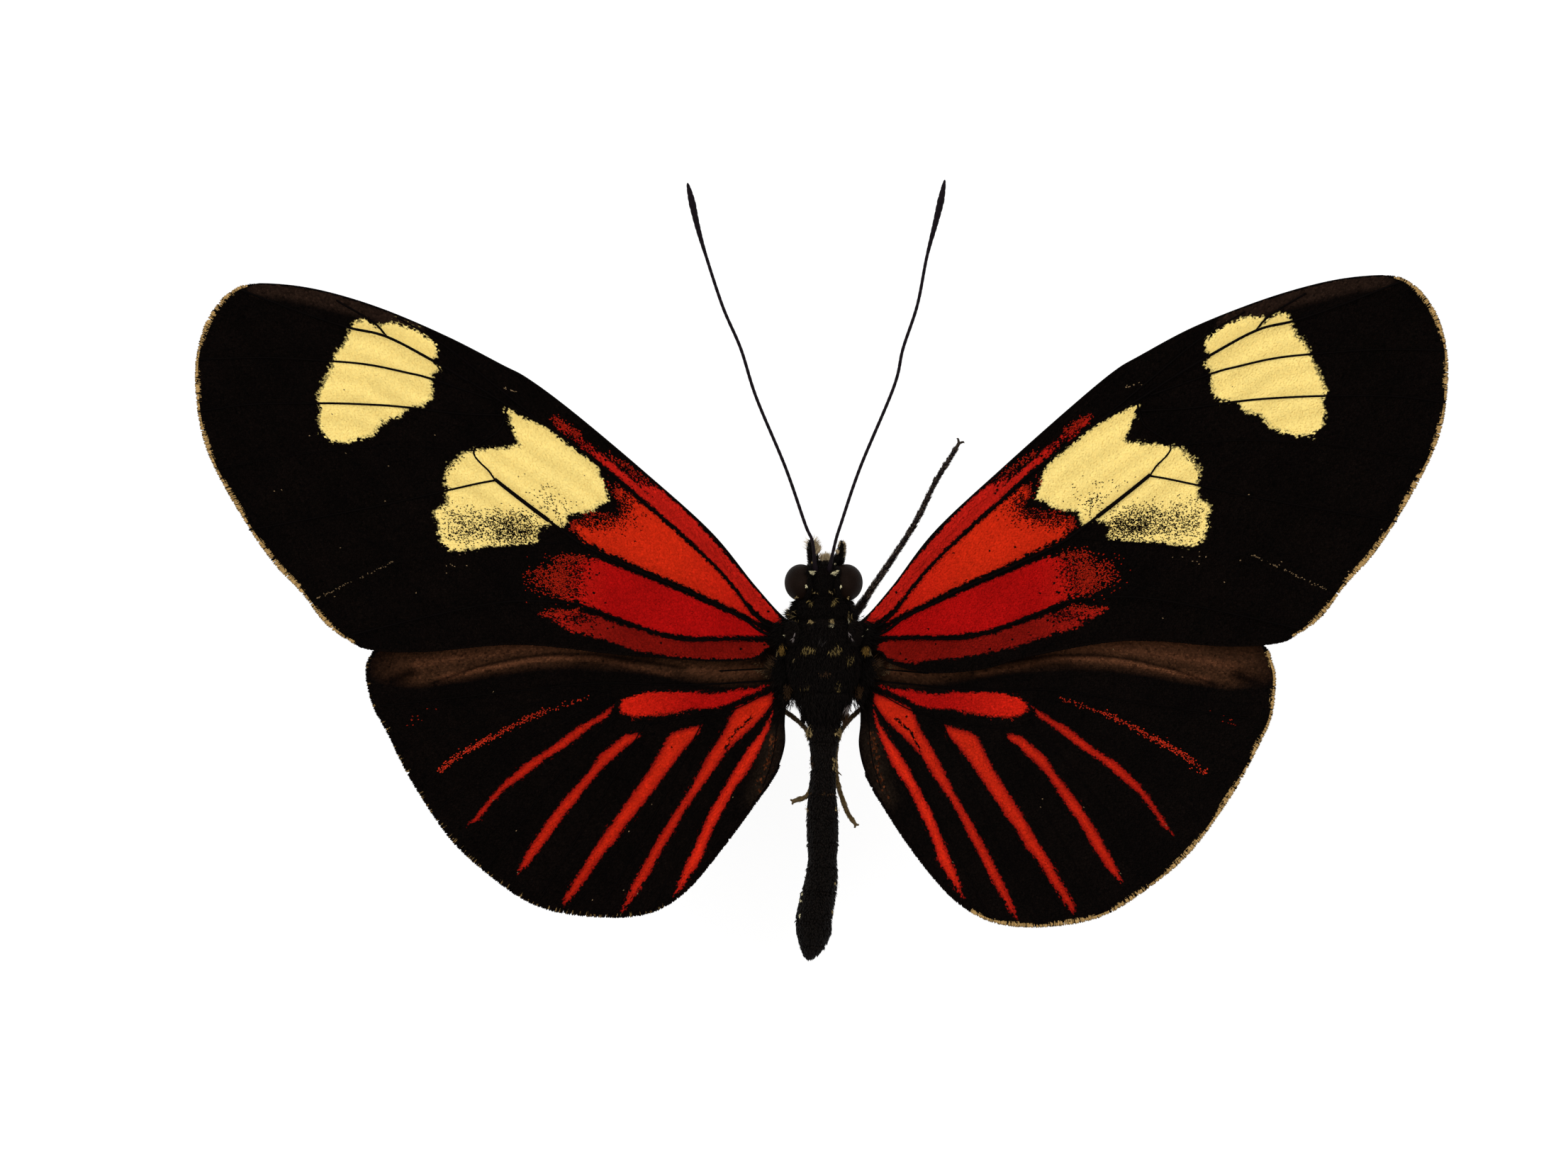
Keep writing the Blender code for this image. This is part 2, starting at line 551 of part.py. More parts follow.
def main():
    for leftover in list(bpy.data.objects):
        bpy.data.objects.remove(leftover)
    group = bpy.data.collections.new("crimson_patched_longwing")
    cutters = bpy.data.collections.new("cutters")
    for collection in (group, cutters):
        bpy.context.scene.collection.children.link(collection)
    body = bpy.data.objects.new("body_axis", None)
    body.location = (0.0, 0.0, BODY_HEIGHT * MM)
    group.objects.link(body)
    around = build_body(group, cutters, body)
    build_mouth(group, body, around)
    build_feelers(group, body, around)
    build_legs(group, body, around)
    build_wings(group, body, around)
    build_stand(group, body, around)


main()
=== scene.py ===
"""A crimson-patched longwing butterfly with its wings spread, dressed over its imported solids.

Lengths are named in millimetres. X runs to the insect's right, Y towards its head, and Z is measured
from the body's axis, which stands BODY_HEIGHT over the table.
"""
import math

import bmesh
import bpy
import numpy as np
from mathutils.geometry import delaunay_2d_cdt
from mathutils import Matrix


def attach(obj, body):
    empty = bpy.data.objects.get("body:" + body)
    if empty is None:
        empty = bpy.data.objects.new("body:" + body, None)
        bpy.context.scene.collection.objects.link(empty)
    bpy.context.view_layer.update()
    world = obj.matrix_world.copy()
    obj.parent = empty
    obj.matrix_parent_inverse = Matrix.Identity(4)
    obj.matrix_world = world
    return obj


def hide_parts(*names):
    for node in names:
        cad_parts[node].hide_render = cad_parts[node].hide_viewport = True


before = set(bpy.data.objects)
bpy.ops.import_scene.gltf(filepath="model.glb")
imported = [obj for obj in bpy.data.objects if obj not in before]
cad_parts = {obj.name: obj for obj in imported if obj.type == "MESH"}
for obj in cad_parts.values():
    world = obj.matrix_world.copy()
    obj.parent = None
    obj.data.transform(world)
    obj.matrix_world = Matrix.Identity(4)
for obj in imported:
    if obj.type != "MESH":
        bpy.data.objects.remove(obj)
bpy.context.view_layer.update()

# Display base: two round pads joined by a short bar, sawn out of dense board, with eased edges and a fine
# line cut round the top. It is sprayed satin white, lies hidden below the wings, and carries the insect
# on one pin.
MM = 0.001
PAD_RADIUS = 7.0
PAD_PLACE = 10.5
BAR_HALF = 2.0
BAR_BLEND = 6
RIM_POINTS = 160
BASE_THICK = 3.0
BASE_SETBACK = 0.9
BASE_EASE = 0.6
LINE_INSET = 1.0
LINE_WIDTH = 0.18
LINE_DEEP = 0.12


def paint(code):
    """A colour written as six hex digits, in linear light."""
    parts = np.array([int(code[place:place + 2], 16) for place in (0, 2, 4)]) / 255
    return np.where(parts <= 0.04045, parts / 12.92, ((parts + 0.055) / 1.055) ** 2.4)


def mottle_group():
    """Two colours clouded into each other, with a grain for the gloss and the height."""
    group = bpy.data.node_groups.new("mottled_surface", "ShaderNodeTree")
    sockets = group.interface
    for label, kind, value in (
            ("Dark", "NodeSocketColor", (0, 0, 0, 1)), ("Light", "NodeSocketColor", (1, 1, 1, 1)),
            ("Cloud Scale", "NodeSocketFloat", 500.0), ("Grain Scale", "NodeSocketFloat", 4000.0),
            ("Gloss Low", "NodeSocketFloat", 0.4), ("Gloss High", "NodeSocketFloat", 0.6)):
        sockets.new_socket(name=label, in_out="INPUT", socket_type=kind).default_value = value
    for label, kind in (("Colour", "NodeSocketColor"), ("Roughness", "NodeSocketFloat"),
                        ("Height", "NodeSocketFloat")):
        sockets.new_socket(name=label, in_out="OUTPUT", socket_type=kind)
    link = group.links.new
    given, result, place, cloud, grain, blend, gloss = (
        group.nodes.new(kind) for kind in ("NodeGroupInput", "NodeGroupOutput", "ShaderNodeTexCoord",
                                           "ShaderNodeTexNoise", "ShaderNodeTexNoise", "ShaderNodeMix",
                                           "ShaderNodeMapRange"))
    cloud.inputs["Detail"].default_value = 4.0
    grain.inputs["Detail"].default_value = 2.0
    blend.data_type = "RGBA"
    for texture, scale in ((cloud, "Cloud Scale"), (grain, "Grain Scale")):
        link(place.outputs["Object"], texture.inputs["Vector"])
        link(given.outputs[scale], texture.inputs["Scale"])
    link(cloud.outputs["Fac"], blend.inputs["Factor"])
    link(given.outputs["Dark"], blend.inputs["A"])
    link(given.outputs["Light"], blend.inputs["B"])
    link(grain.outputs["Fac"], gloss.inputs["Value"])
    link(given.outputs["Gloss Low"], gloss.inputs["To Min"])
    link(given.outputs["Gloss High"], gloss.inputs["To Max"])
    link(blend.outputs["Result"], result.inputs["Colour"])
    link(gloss.outputs["Result"], result.inputs["Roughness"])
    link(grain.outputs["Fac"], result.inputs["Height"])
    return group


MOTTLE = mottle_group()


def mottled(name, dark, light, cloud, grain, gloss, bump, shine=0.5, metal=0.0):
    """A finish with clouded colour, an uneven gloss and a fine grain. cloud and grain are sizes in mm."""
    made = bpy.data.materials.new(name)
    made.use_nodes = True
    nodes, link = made.node_tree.nodes, made.node_tree.links.new
    shader = nodes["Principled BSDF"]
    shader.inputs["Specular IOR Level"].default_value = shine
    shader.inputs["Metallic"].default_value = metal
    surface = nodes.new("ShaderNodeGroup")
    surface.node_tree = MOTTLE
    for label, value in (("Dark", (*paint(dark), 1)), ("Light", (*paint(light), 1)),
                         ("Cloud Scale", 1 / (cloud * MM)), ("Grain Scale", 1 / (grain * MM)),
                         ("Gloss Low", gloss[0]), ("Gloss High", gloss[1])):
        surface.inputs[label].default_value = value
    relief = nodes.new("ShaderNodeBump")
    relief.inputs["Distance"].default_value = bump * MM
    link(surface.outputs["Colour"], shader.inputs["Base Color"])
    link(surface.outputs["Roughness"], shader.inputs["Roughness"])
    link(surface.outputs["Height"], relief.inputs["Height"])
    link(relief.outputs["Normal"], shader.inputs["Normal"])
    return made


def take_new(name):
    """Name the piece that was just added and open it with nothing in it picked."""
    piece = bpy.context.object
    piece.name = name
    bpy.ops.object.transform_apply(location=True, rotation=True, scale=True)
    bpy.ops.object.mode_set(mode="EDIT")
    bpy.ops.mesh.select_all(action="DESELECT")
    return piece


def pick(piece, kind, wanted):
    """Pick the faces or edges for which wanted is true."""
    bpy.ops.mesh.select_mode(type=kind[:-1].upper())
    build = bmesh.from_edit_mesh(piece.data)
    for part in getattr(build, kind):
        part.select_set(bool(wanted(part)))
    bmesh.update_edit_mesh(piece.data)


def is_level(edge):
    """Whether an edge runs level, as all round a rim."""
    return abs(edge.verts[0].co.z - edge.verts[1].co.z) < 0.1 * MM


def finish_piece(piece, material, slot, *stands_for):
    """Close a shaped piece, give it its finish, and set it on the body."""
    if bpy.context.object and bpy.context.object.mode == "EDIT":
        bpy.ops.object.mode_set(mode="OBJECT")
    piece.data.materials.clear()
    piece.data.materials.append(material)
    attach(piece, "root")
    if stands_for:
        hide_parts(*stands_for)


def half_depth(across):
    """Half the depth of the base at a distance from its middle."""
    pad = math.sqrt(max(0.0, PAD_RADIUS ** 2 - (abs(across) - PAD_PLACE) ** 2))
    if abs(across) >= PAD_PLACE:
        return pad
    return (pad ** BAR_BLEND + BAR_HALF ** BAR_BLEND) ** (1 / BAR_BLEND)


bpy.ops.object.select_all(action="DESELECT")
bpy.ops.mesh.primitive_circle_add(vertices=RIM_POINTS, radius=1.0, fill_type="NGON", location=(0, 0, 0))
base = take_new("display_base")
build = bmesh.from_edit_mesh(base.data)
for vert in build.verts:
    across = (PAD_PLACE + PAD_RADIUS) * vert.co.x
    deep = math.copysign(half_depth(across), vert.co.y) if abs(vert.co.y) > 1e-4 else 0.0
    vert.co = (across * MM, (deep - BASE_SETBACK) * MM, 0.0)
bmesh.update_edit_mesh(base.data)
bpy.ops.mesh.select_all(action="SELECT")
bpy.ops.mesh.extrude_region_move(TRANSFORM_OT_translate={"value": (0, 0, BASE_THICK * MM)})
bpy.ops.mesh.select_all(action="SELECT")
bpy.ops.mesh.normals_make_consistent(inside=False)
pick(base, "edges", is_level)
bpy.ops.mesh.bevel(offset=BASE_EASE * MM, segments=5, affect="EDGES")
pick(base, "faces", lambda face: face.normal.z > 0.99 and len(face.verts) > 4)
bpy.ops.mesh.inset(thickness=LINE_INSET * MM)
bpy.ops.mesh.inset(thickness=LINE_WIDTH / 2 * MM)
bpy.ops.transform.translate(value=(0, 0, -LINE_DEEP * MM))
bpy.ops.mesh.inset(thickness=LINE_WIDTH / 2 * MM)
bpy.ops.transform.translate(value=(0, 0, LINE_DEEP * MM))
bpy.ops.object.mode_set(mode="OBJECT")
bpy.ops.object.shade_smooth_by_angle(angle=math.radians(30))
satin_white = mottled("satin_white", "D9D8D3", "ECEBE7", 9.0, 0.35, (0.36, 0.5), 0.01)
finish_piece(base, satin_white, "stand_base", "stand_base")

# Pin and collar: a 1 mm steel rod let into the base and up into the underside of the thorax, with a small
# turned collar where it enters the board. Both are bright drawn steel.
BODY_HEIGHT = 20.0
ROD_RADIUS = 0.5
ROD_SETBACK = 0.9
ROD_FOOT = 2.2
ROD_HEAD = 18.6
COLLAR_RADIUS = 0.95
COLLAR_HIGH = 0.55
ROD_EASE = 0.05
COLLAR_EASE = 0.18

steel = mottled("drawn_steel", "8F8F8C", "C4C3BE", 0.6, 0.08, (0.2, 0.42), 0.004, metal=1.0)
for name, radius, foot, head, ease, stands_for in (
        ("steel_rod", ROD_RADIUS, ROD_FOOT, ROD_HEAD, ROD_EASE, ("stand_rod",)),
        ("rod_collar", COLLAR_RADIUS, BASE_THICK, BASE_THICK + COLLAR_HIGH, COLLAR_EASE, ())):
    bpy.ops.object.select_all(action="DESELECT")
    bpy.ops.mesh.primitive_cylinder_add(vertices=48, radius=radius * MM, depth=(head - foot) * MM,
                                        location=(0, -ROD_SETBACK * MM, (foot + head) / 2 * MM))
    turned = take_new(name)
    pick(turned, "edges", is_level)
    bpy.ops.mesh.bevel(offset=ease * MM, segments=3, affect="EDGES")
    bpy.ops.object.mode_set(mode="OBJECT")
    bpy.ops.object.shade_smooth_by_angle(angle=math.radians(30))
    finish_piece(turned, steel, "stand_rod", *stands_for)

# Body skin: the hard shell of head, collar, thorax and abdomen in one piece, pulled out of a disc ring by
# ring from the face to the tail. It is black and satin, drawn in at the neck, the waist and each ring of
# the abdomen.
BODY_RINGS = [
    (4.62, 0.0, -0.22, 0.10, 0.12), (4.58, 0.0, -0.22, 0.40, 0.46), (4.35, 0.0, -0.20, 0.66, 0.80),
    (3.95, 0.0, -0.15, 0.76, 0.98), (3.45, 0.0, -0.10, 0.78, 1.05), (3.05, 0.0, -0.10, 0.74, 0.98),
    (2.80, 0.0, -0.10, 0.66, 0.82), (2.62, 0.0, -0.10, 0.70, 0.74), (2.45, 0.0, -0.10, 0.98, 0.88),
    (2.25, 0.0, -0.10, 1.28, 1.10), (2.00, 0.0, -0.10, 1.50, 1.26), (1.60, 0.0, -0.10, 1.60, 1.38),
    (1.32, 0.0, -0.10, 1.48, 1.38), (1.15, 0.0, -0.05, 1.50, 1.52), (0.90, 0.0, 0.0, 1.73, 1.88),
    (0.20, 0.0, 0.05, 2.00, 2.13), (-0.80, 0.0, 0.05, 2.08, 2.20), (-1.80, 0.0, 0.05, 1.98, 2.06),
    (-2.45, 0.0, 0.0, 1.80, 1.83), (-2.75, 0.0, -0.05, 1.66, 1.60), (-3.05, 0.0, -0.05, 1.64, 1.62),
    (-3.45, 0.0, -0.05, 1.46, 1.48), (-3.90, 0.0, -0.1, 1.16, 1.20), (-4.20, 0.01, -0.1, 0.92, 0.95),
    (-4.50, 0.02, -0.1, 0.76, 0.78), (-4.80, 0.02, -0.1, 0.79, 0.80), (-5.50, 0.01, -0.1, 0.88, 0.88),
    (-5.95, -0.01, -0.1, 0.75, 0.82), (-6.40, -0.02, -0.1, 0.69, 0.76), (-7.30, -0.03, -0.1, 0.64, 0.73),
    (-8.70, -0.08, -0.12, 0.74, 0.81), (-10.1, -0.08, -0.15, 0.86, 0.89),
    (-11.4, -0.05, -0.18, 0.85, 0.89), (-12.4, -0.07, -0.20, 0.76, 0.83),
    (-13.5, -0.12, -0.22, 0.87, 0.89), (-14.6, -0.34, -0.25, 0.97, 0.93),
    (-15.8, -0.57, -0.28, 1.00, 0.93), (-16.7, -0.56, -0.30, 0.96, 0.89),
    (-17.4, -0.63, -0.30, 0.75, 0.71), (-18.0, -0.76, -0.30, 0.40, 0.38),
    (-18.25, -0.83, -0.30, 0.12, 0.12)]
ABDOMEN_JOINTS = (-5.7, -7.3, -8.75, -10.1, -11.5, -12.9, -14.3, -15.9, -17.4)
JOINT_DEEP = 0.06
JOINT_REACH = 0.12
RING_STEP = 0.14
SKIN_SIDES = 44
BLACK = paint("0B0705")
CREAM = paint("D8CDA4")
OCHRE = paint("A9823F")
TAN = paint("9C8558")
BROWN = paint("3A2818")
OLIVE = paint("75633A")
LILAC = paint("6E6562")

# The pale marks seen on the back: place, half size, colour and how much of the coat is pale there
BODY_MARKS = [
    (-0.70, 3.98, 0.20, 0.11, CREAM, 1.0),
    (0.66, 3.92, 0.19, 0.12, CREAM, 1.0),
    (-0.45, 2.84, 0.12, 0.08, TAN, 0.4),
    (0.37, 2.86, 0.12, 0.08, TAN, 0.35),
    (-0.70, 2.12, 0.11, 0.13, OLIVE * 1.3, 0.95),
    (0.52, 2.12, 0.12, 0.13, OLIVE * 1.3, 0.95),
    (-0.75, 1.13, 0.13, 0.15, TAN, 0.5),
    (0.45, 1.12, 0.13, 0.15, TAN, 0.5),
    (0.47, 0.93, 0.05, 0.05, CREAM, 1.0),
    (1.42, 1.35, 0.16, 0.3, TAN, 0.3),
    (-1.68, 1.28, 0.25, 0.2, TAN, 0.2),
    (-1.68, 0.30, 0.05, 0.14, LILAC, 0.8),
    (-1.80, 0.05, 0.05, 0.14, LILAC, 0.8),
    (1.40, 0.40, 0.05, 0.15, LILAC, 0.8),
    (1.56, 0.10, 0.05, 0.15, LILAC, 0.8),
    (-0.84, -0.54, 0.38, 0.22, OLIVE, 0.32),
    (0.66, -0.54, 0.38, 0.24, OLIVE, 0.32),
    (1.46, -1.0, 0.15, 0.32, OLIVE, 0.32),
    (-1.59, -1.0, 0.1, 0.17, TAN, 0.3),
    (-2.0, -2.96, 0.22, 0.4, BROWN, 0.6),
    (1.9, -2.96, 0.2, 0.4, BROWN, 0.6),
    (-1.07, -2.6, 0.22, 0.3, OLIVE, 0.08),
    (0.83, -2.65, 0.16, 0.42, OLIVE, 0.16),
    (0.1, -1.9, 0.5, 0.15, BROWN, 0.3),
    (-0.72, -5.2, 0.14, 0.3, TAN, 0.4),
    (0.72, -5.2, 0.15, 0.3, TAN, 0.45),
    (0.60, -7.05, 0.09, 0.48, TAN, 0.8),
    (-0.1, -8.75, 0.7, 0.03, BROWN, 0.7),
    (-0.65, -6.95, 0.07, 0.35, BROWN, 0.8),
    (-0.9, -9.6, 0.06, 0.3, TAN, 0.5),
    (0.72, -9.55, 0.06, 0.25, TAN, 0.5),
    (-1.18, -14.5, 0.06, 0.08, CREAM, 0.7),
    (-1.22, -14.85, 0.06, 0.08, CREAM, 0.7),
    (-1.32, -15.75, 0.06, 0.08, CREAM, 0.7),
    (0.42, -15.6, 0.07, 0.2, TAN, 0.5),
    (0.72, -13.9, 0.07, 0.2, TAN, 0.45)]


def ring_at(along):
    """Centre, half width and half height of the body skin at places along it."""
    table = np.array(BODY_RINGS)[::-1]
    across, up, wide, high = (np.interp(along, table[:, 0], table[:, column]) for column in (1, 2, 3, 4))
    pinch = sum(np.clip(1 - np.abs(along - joint) / JOINT_REACH, 0, 1) for joint in ABDOMEN_JOINTS)
    return across, up, wide - JOINT_DEEP * pinch, high - JOINT_DEEP * pinch


def body_tint(places, chance, bare):
    """The coat's colour over the body: black, with pale marks on the back and a dotted cream line below."""
    across, along, up = places.T
    tint = np.tile(bare, (len(places), 1)) * (0.6 + 1.1 * chance[:, :1])
    for x, y, wide, long, colour, cover in BODY_MARKS:
        reach = ((across - x) / wide) ** 2 + ((along - y) / long) ** 2
        marked = (up > 0.15) & (reach < 0.75 + 0.5 * chance[:, 1]) & (chance[:, 2] < cover)
        marked |= (np.abs(across) > 1.2) & (up > -0.6) & (reach < 1.0) & (chance[:, 2] < cover * 0.8)
        tint[marked] = colour * (0.75 + 0.4 * chance[marked, :1])
    centre, middle, wide, high = ring_at(along)
    lean = np.arctan2((up - middle) / high, np.abs(across - centre) / wide)
    line = (along < -5) & (np.abs(lean + 0.75) < 0.16) & (chance[:, 2] < 0.75)
    line |= (along > -4) & (along < 1) & (np.abs(lean + 0.35) < 0.16) & (np.abs(np.sin(along * 2.2)) < 0.45)
    tint[line] = CREAM * (0.55 + 0.4 * chance[line, :1])
    return tint


def tinted(name, gloss, shine, bump=0.004, grain=0.05):
    """A finish whose colour is laid on scale by scale, in the attribute tint."""
    made = mottled(name, "000000", "FFFFFF", 0.6, grain, gloss, bump, shine)
    nodes, link = made.node_tree.nodes, made.node_tree.links.new
    laid = nodes.new("ShaderNodeAttribute")
    laid.attribute_name = "tint"
    link(laid.outputs["Color"], nodes["Principled BSDF"].inputs["Base Color"])
    return made


def lay_tint(mesh, colours):
    """Store one colour for each point of a mesh."""
    layer = mesh.color_attributes.new(name="tint", type="FLOAT_COLOR", domain="POINT")
    solid = np.column_stack((np.clip(colours, 0, 1), np.ones(len(colours))))
    layer.data.foreach_set("color", solid.astype(np.float32).ravel())


def points_of(piece):
    """The points of a piece in mm from the body's axis."""
    flat = np.empty(len(piece.data.vertices) * 3, np.float32)
    piece.data.vertices.foreach_get("co", flat)
    return flat.reshape(-1, 3).astype(float) / MM - (0, 0, BODY_HEIGHT)


bpy.ops.object.select_all(action="DESELECT")
face, brow, tail = (BODY_RINGS[place][0] for place in (0, 1, -1))
stops = np.concatenate(([face, brow], np.arange(brow - RING_STEP, tail, -RING_STEP), [tail]))
shape = np.column_stack((stops, *ring_at(stops)))
here = (shape[0, 1] * MM, shape[0, 0] * MM, (shape[0, 2] + BODY_HEIGHT) * MM)
bpy.ops.mesh.primitive_circle_add(vertices=SKIN_SIDES, radius=MM, fill_type="NGON", location=here,
                                  rotation=(math.pi / 2, 0, 0))
skin = take_new("body_skin")
bpy.ops.mesh.select_all(action="SELECT")
bpy.ops.transform.resize(value=(shape[0, 3], 1, shape[0, 4]), center_override=here)
for before, after in zip(shape, shape[1:]):
    step = ((after[1] - before[1]) * MM, (after[0] - before[0]) * MM, (after[2] - before[2]) * MM)
    bpy.ops.mesh.extrude_region_move(TRANSFORM_OT_translate={"value": step})
    here = (after[1] * MM, after[0] * MM, (after[2] + BODY_HEIGHT) * MM)
    bpy.ops.transform.resize(value=(after[3] / before[3], 1, after[4] / before[4]), center_override=here)
bpy.ops.mesh.select_all(action="SELECT")
bpy.ops.mesh.vertices_smooth(factor=0.4, repeat=2)
bpy.ops.mesh.normals_make_consistent(inside=False)
bpy.ops.object.mode_set(mode="OBJECT")
skin.data.shade_smooth()
coat_of_body = tinted("black_body_coat", (0.5, 0.75), 0.06)
skin_points = points_of(skin)
draw = np.random.default_rng(11)
lay_tint(skin.data, body_tint(skin_points, draw.random((len(skin_points), 3)), BLACK))
finish_piece(skin, coat_of_body, "body", "head", "prothorax", "thorax", "abdomen")

# Body coat: fine hair on the head and thorax and small lapped scales on the abdomen, all lying towards
# the tail. It is black with cream and ochre marks, and each hair or scale is a thin solid blade rooted in
# the skin.
PATCH = 0.003
COAT_BACK = 18.4
COAT_SPAN = 23.2
RUMP_START = 3.2
RUMP_REACH = 0.6


def joined_mesh(name, points, triangles, colours, patch):
    """One mesh from arrays, with a colour for each point and a patch on the unwrap for each blade."""
    mesh = bpy.data.meshes.new(name)
    mesh.vertices.add(len(points))
    mesh.vertices.foreach_set("co", ((points + (0, 0, BODY_HEIGHT)) * MM).astype(np.float32).ravel())
    mesh.loops.add(triangles.size)
    mesh.loops.foreach_set("vertex_index", triangles.astype(np.int32).ravel())
    mesh.polygons.add(len(triangles))
    mesh.polygons.foreach_set("loop_start", np.arange(0, triangles.size, 3, dtype=np.int32))
    mesh.update(calc_edges=True)
    lay_tint(mesh, colours)
    if patch is not None:
        unwrap = mesh.uv_layers.new(name="OFBake")
        unwrap.data.foreach_set("uv", patch[triangles.ravel()].astype(np.float32).ravel())
    mesh.shade_smooth()
    piece = bpy.data.objects.new(name, mesh)
    bpy.context.scene.collection.objects.link(piece)
    return piece


def unit(vectors):
    """Vectors of length one."""
    return vectors / np.maximum(np.linalg.norm(vectors, axis=1, keepdims=True), 1e-9)


BLADE_FACES = np.array([(0, 1, 4), (0, 4, 3), (1, 2, 5), (1, 5, 4), (2, 0, 3), (2, 3, 5), (3, 4, 6),
                        (4, 5, 6), (5, 3, 6), (0, 2, 1)])
BLADE_PATCH = np.array([(-0.3, -0.5), (0.3, -0.5), (0, -0.4), (-0.5, -0.05), (0.5, -0.05), (0, 0), (0, 0.5)])


def blades(name, roots, normals, lie, length, width, lift, tint, unwrap, fullest=0.45, flat=0.35):
    """Thin three-sided blades that rise out of a surface, lie along it and run out to a point."""
    lie = unit(lie - normals * np.sum(lie * normals, axis=1, keepdims=True))
    aside = np.cross(lie, normals)
    length, width, lift = (np.resize(size, (len(roots), 1)) for size in (length, width, lift))
    spots = []
    for along, up, across in ((0.0, -0.2, 0.6), (fullest, 0.75, 1.0)):
        middle = roots + lie * length * along + normals * lift * up
        spots += [middle - aside * width * across / 2, middle + aside * width * across / 2,
                  middle + normals * width * across * flat]
    spots.append(roots + lie * length + normals * lift)
    count = len(roots)
    points = np.stack(spots, axis=1).reshape(-1, 3)
    triangles = (BLADE_FACES[None] + 7 * np.arange(count)[:, None, None]).reshape(-1, 3)
    patch = (unwrap[:, None] + BLADE_PATCH[None] * PATCH).reshape(-1, 2)
    return joined_mesh(name, points, triangles, np.repeat(tint, 7, axis=0), patch)


def body_roots(first, last, count, draw):
    """Spots spread evenly over a length of the body skin, with the way the surface faces there."""
    along = np.linspace(first, last, 400)
    across, up, wide, high = ring_at(along)
    share = np.cumsum(wide + high)
    along = np.interp(draw.random(count) * share[-1], share, along)
    turn = draw.random(count) * 2 * math.pi
    across, up, wide, high = ring_at(along)
    roots = np.column_stack((across + wide * np.cos(turn), along, up + high * np.sin(turn)))
    near = ring_at(along + 0.05)
    slope = -(near[2] - wide + near[3] - high) / 2 / 0.05
    normals = unit(np.column_stack((np.cos(turn) / wide, slope / ((wide + high) / 2), np.sin(turn) / high)))
    unwrap = 0.02 + 0.96 * np.column_stack((turn / (2 * math.pi), (along + COAT_BACK) / COAT_SPAN))
    return roots, normals, unwrap


def skin_top(x, y):
    """Height of the upper side of the body skin, and the way it faces there."""
    across, up, wide, high = ring_at(y)
    part = np.clip((x - across) / wide, -0.97, 0.97)
    lean = np.sqrt(1 - part ** 2)
    return up + high * lean, unit(np.column_stack((part / wide, np.zeros(len(x)), lean / high)))


def ramp(value, start, span):
    """A share that grows from 0 at start to 1 over span."""
    return np.clip((value - start) / span, 0, 1)


def strewn(way, count, draw, stray):
    """One way to lie for each of count hairs, each a little its own way."""
    return np.tile(way, (count, 1)) + draw.normal(0, stray, (count, 3))


# Each stretch of the coat: from, to, how many blades, length, width and lift
for name, first, last, count, long, wide, lift in (
        ("head_hair", 4.6, 2.6, 4200, 0.22, 0.04, 0.09), ("collar_hair", 2.6, 1.2, 4200, 0.34, 0.045, 0.13),
        ("thorax_hair", 1.3, -4.6, 11500, 0.40, 0.05, 0.13),
        ("abdomen_scales", -4.3, -18.2, 10500, 0.26, 0.125, 0.05)):
    draw = np.random.default_rng(count)
    roots, normals, unwrap = body_roots(first, last, count, draw)
    stray = draw.normal(0, 0.28, (count, 3))
    lie = np.tile((0.0, -1.0, 0.0), (count, 1)) + stray
    if name == "head_hair":
        lie = np.tile((0.0, -0.55, 0.25), (count, 1)) + normals * 0.3 + stray * 1.2
    size = long * draw.uniform(0.65, 1.3, count)
    rump = ramp(-roots[:, 1], RUMP_START, RUMP_REACH) * (name == "thorax_hair")
    size = size * (1 + 0.9 * rump)
    lie = lie + normals * 0.35 * rump[:, None]
    seen = roots + unit(lie) * size[:, None] * 0.5
    width = wide * draw.uniform(0.8, 1.2, count)
    lifted = lift * draw.uniform(0.5, 1.6, count) * (1 + 1.2 * rump)
    tint = body_tint(seen, draw.random((count, 3)), BLACK)
    flat = 0.12 if name == "abdomen_scales" else 0.35
    piece = blades(name, roots, normals, lie, size, width, lifted, tint, unwrap, flat=flat)
    finish_piece(piece, coat_of_body, "body")

# The marks are finished with small pale scales that lie over the dark hair
MARK_SCALES = 230
draw = np.random.default_rng(5)
spots, tint = [], []
for x, y, wide, long, colour, cover in BODY_MARKS:
    count = int(MARK_SCALES * math.pi * wide * long * cover) + 2
    turn, reach = draw.random(count) * 2 * math.pi, np.sqrt(draw.random(count))
    spots.append(np.column_stack((x + wide * reach * np.cos(turn), y + long * reach * np.sin(turn))))
    tint.append(colour * draw.uniform(0.6, 1.25, (count, 1)))
spots, tint = np.concatenate(spots), np.concatenate(tint)
height, facing = skin_top(*spots.T)
count = len(spots)
roots = np.column_stack((spots, height)) + facing * 0.10
unwrap = np.column_stack((0.5 + 0.2 * spots[:, 0], 0.02 + 0.96 * (spots[:, 1] + COAT_BACK) / COAT_SPAN))
marks = blades("pale_mark_scales", roots, facing, strewn((0.0, -1.0, 0.1), count, draw, 0.3),
               draw.uniform(0.10, 0.17, count), 0.06, draw.uniform(0.02, 0.06, count), tint, unwrap,
               flat=0.2)
finish_piece(marks, coat_of_body, "body")

# Eyes: two big domes of many small lenses, one to each side of the head. They are dark chocolate brown
# and dried dull, mottled lighter in places, with a rim of short hair and a pale sliver behind.
EYE_PLACE = (1.31, 3.38, -0.08)
EYE_RADII = (0.94, 1.06, 1.1)
EYE_CUT = 0.55
LENS_SIZE = 0.055
LENS_DEEP = 0.02
RIM_HAIRS = 900
SIDES = (("left", -1), ("right", 1))

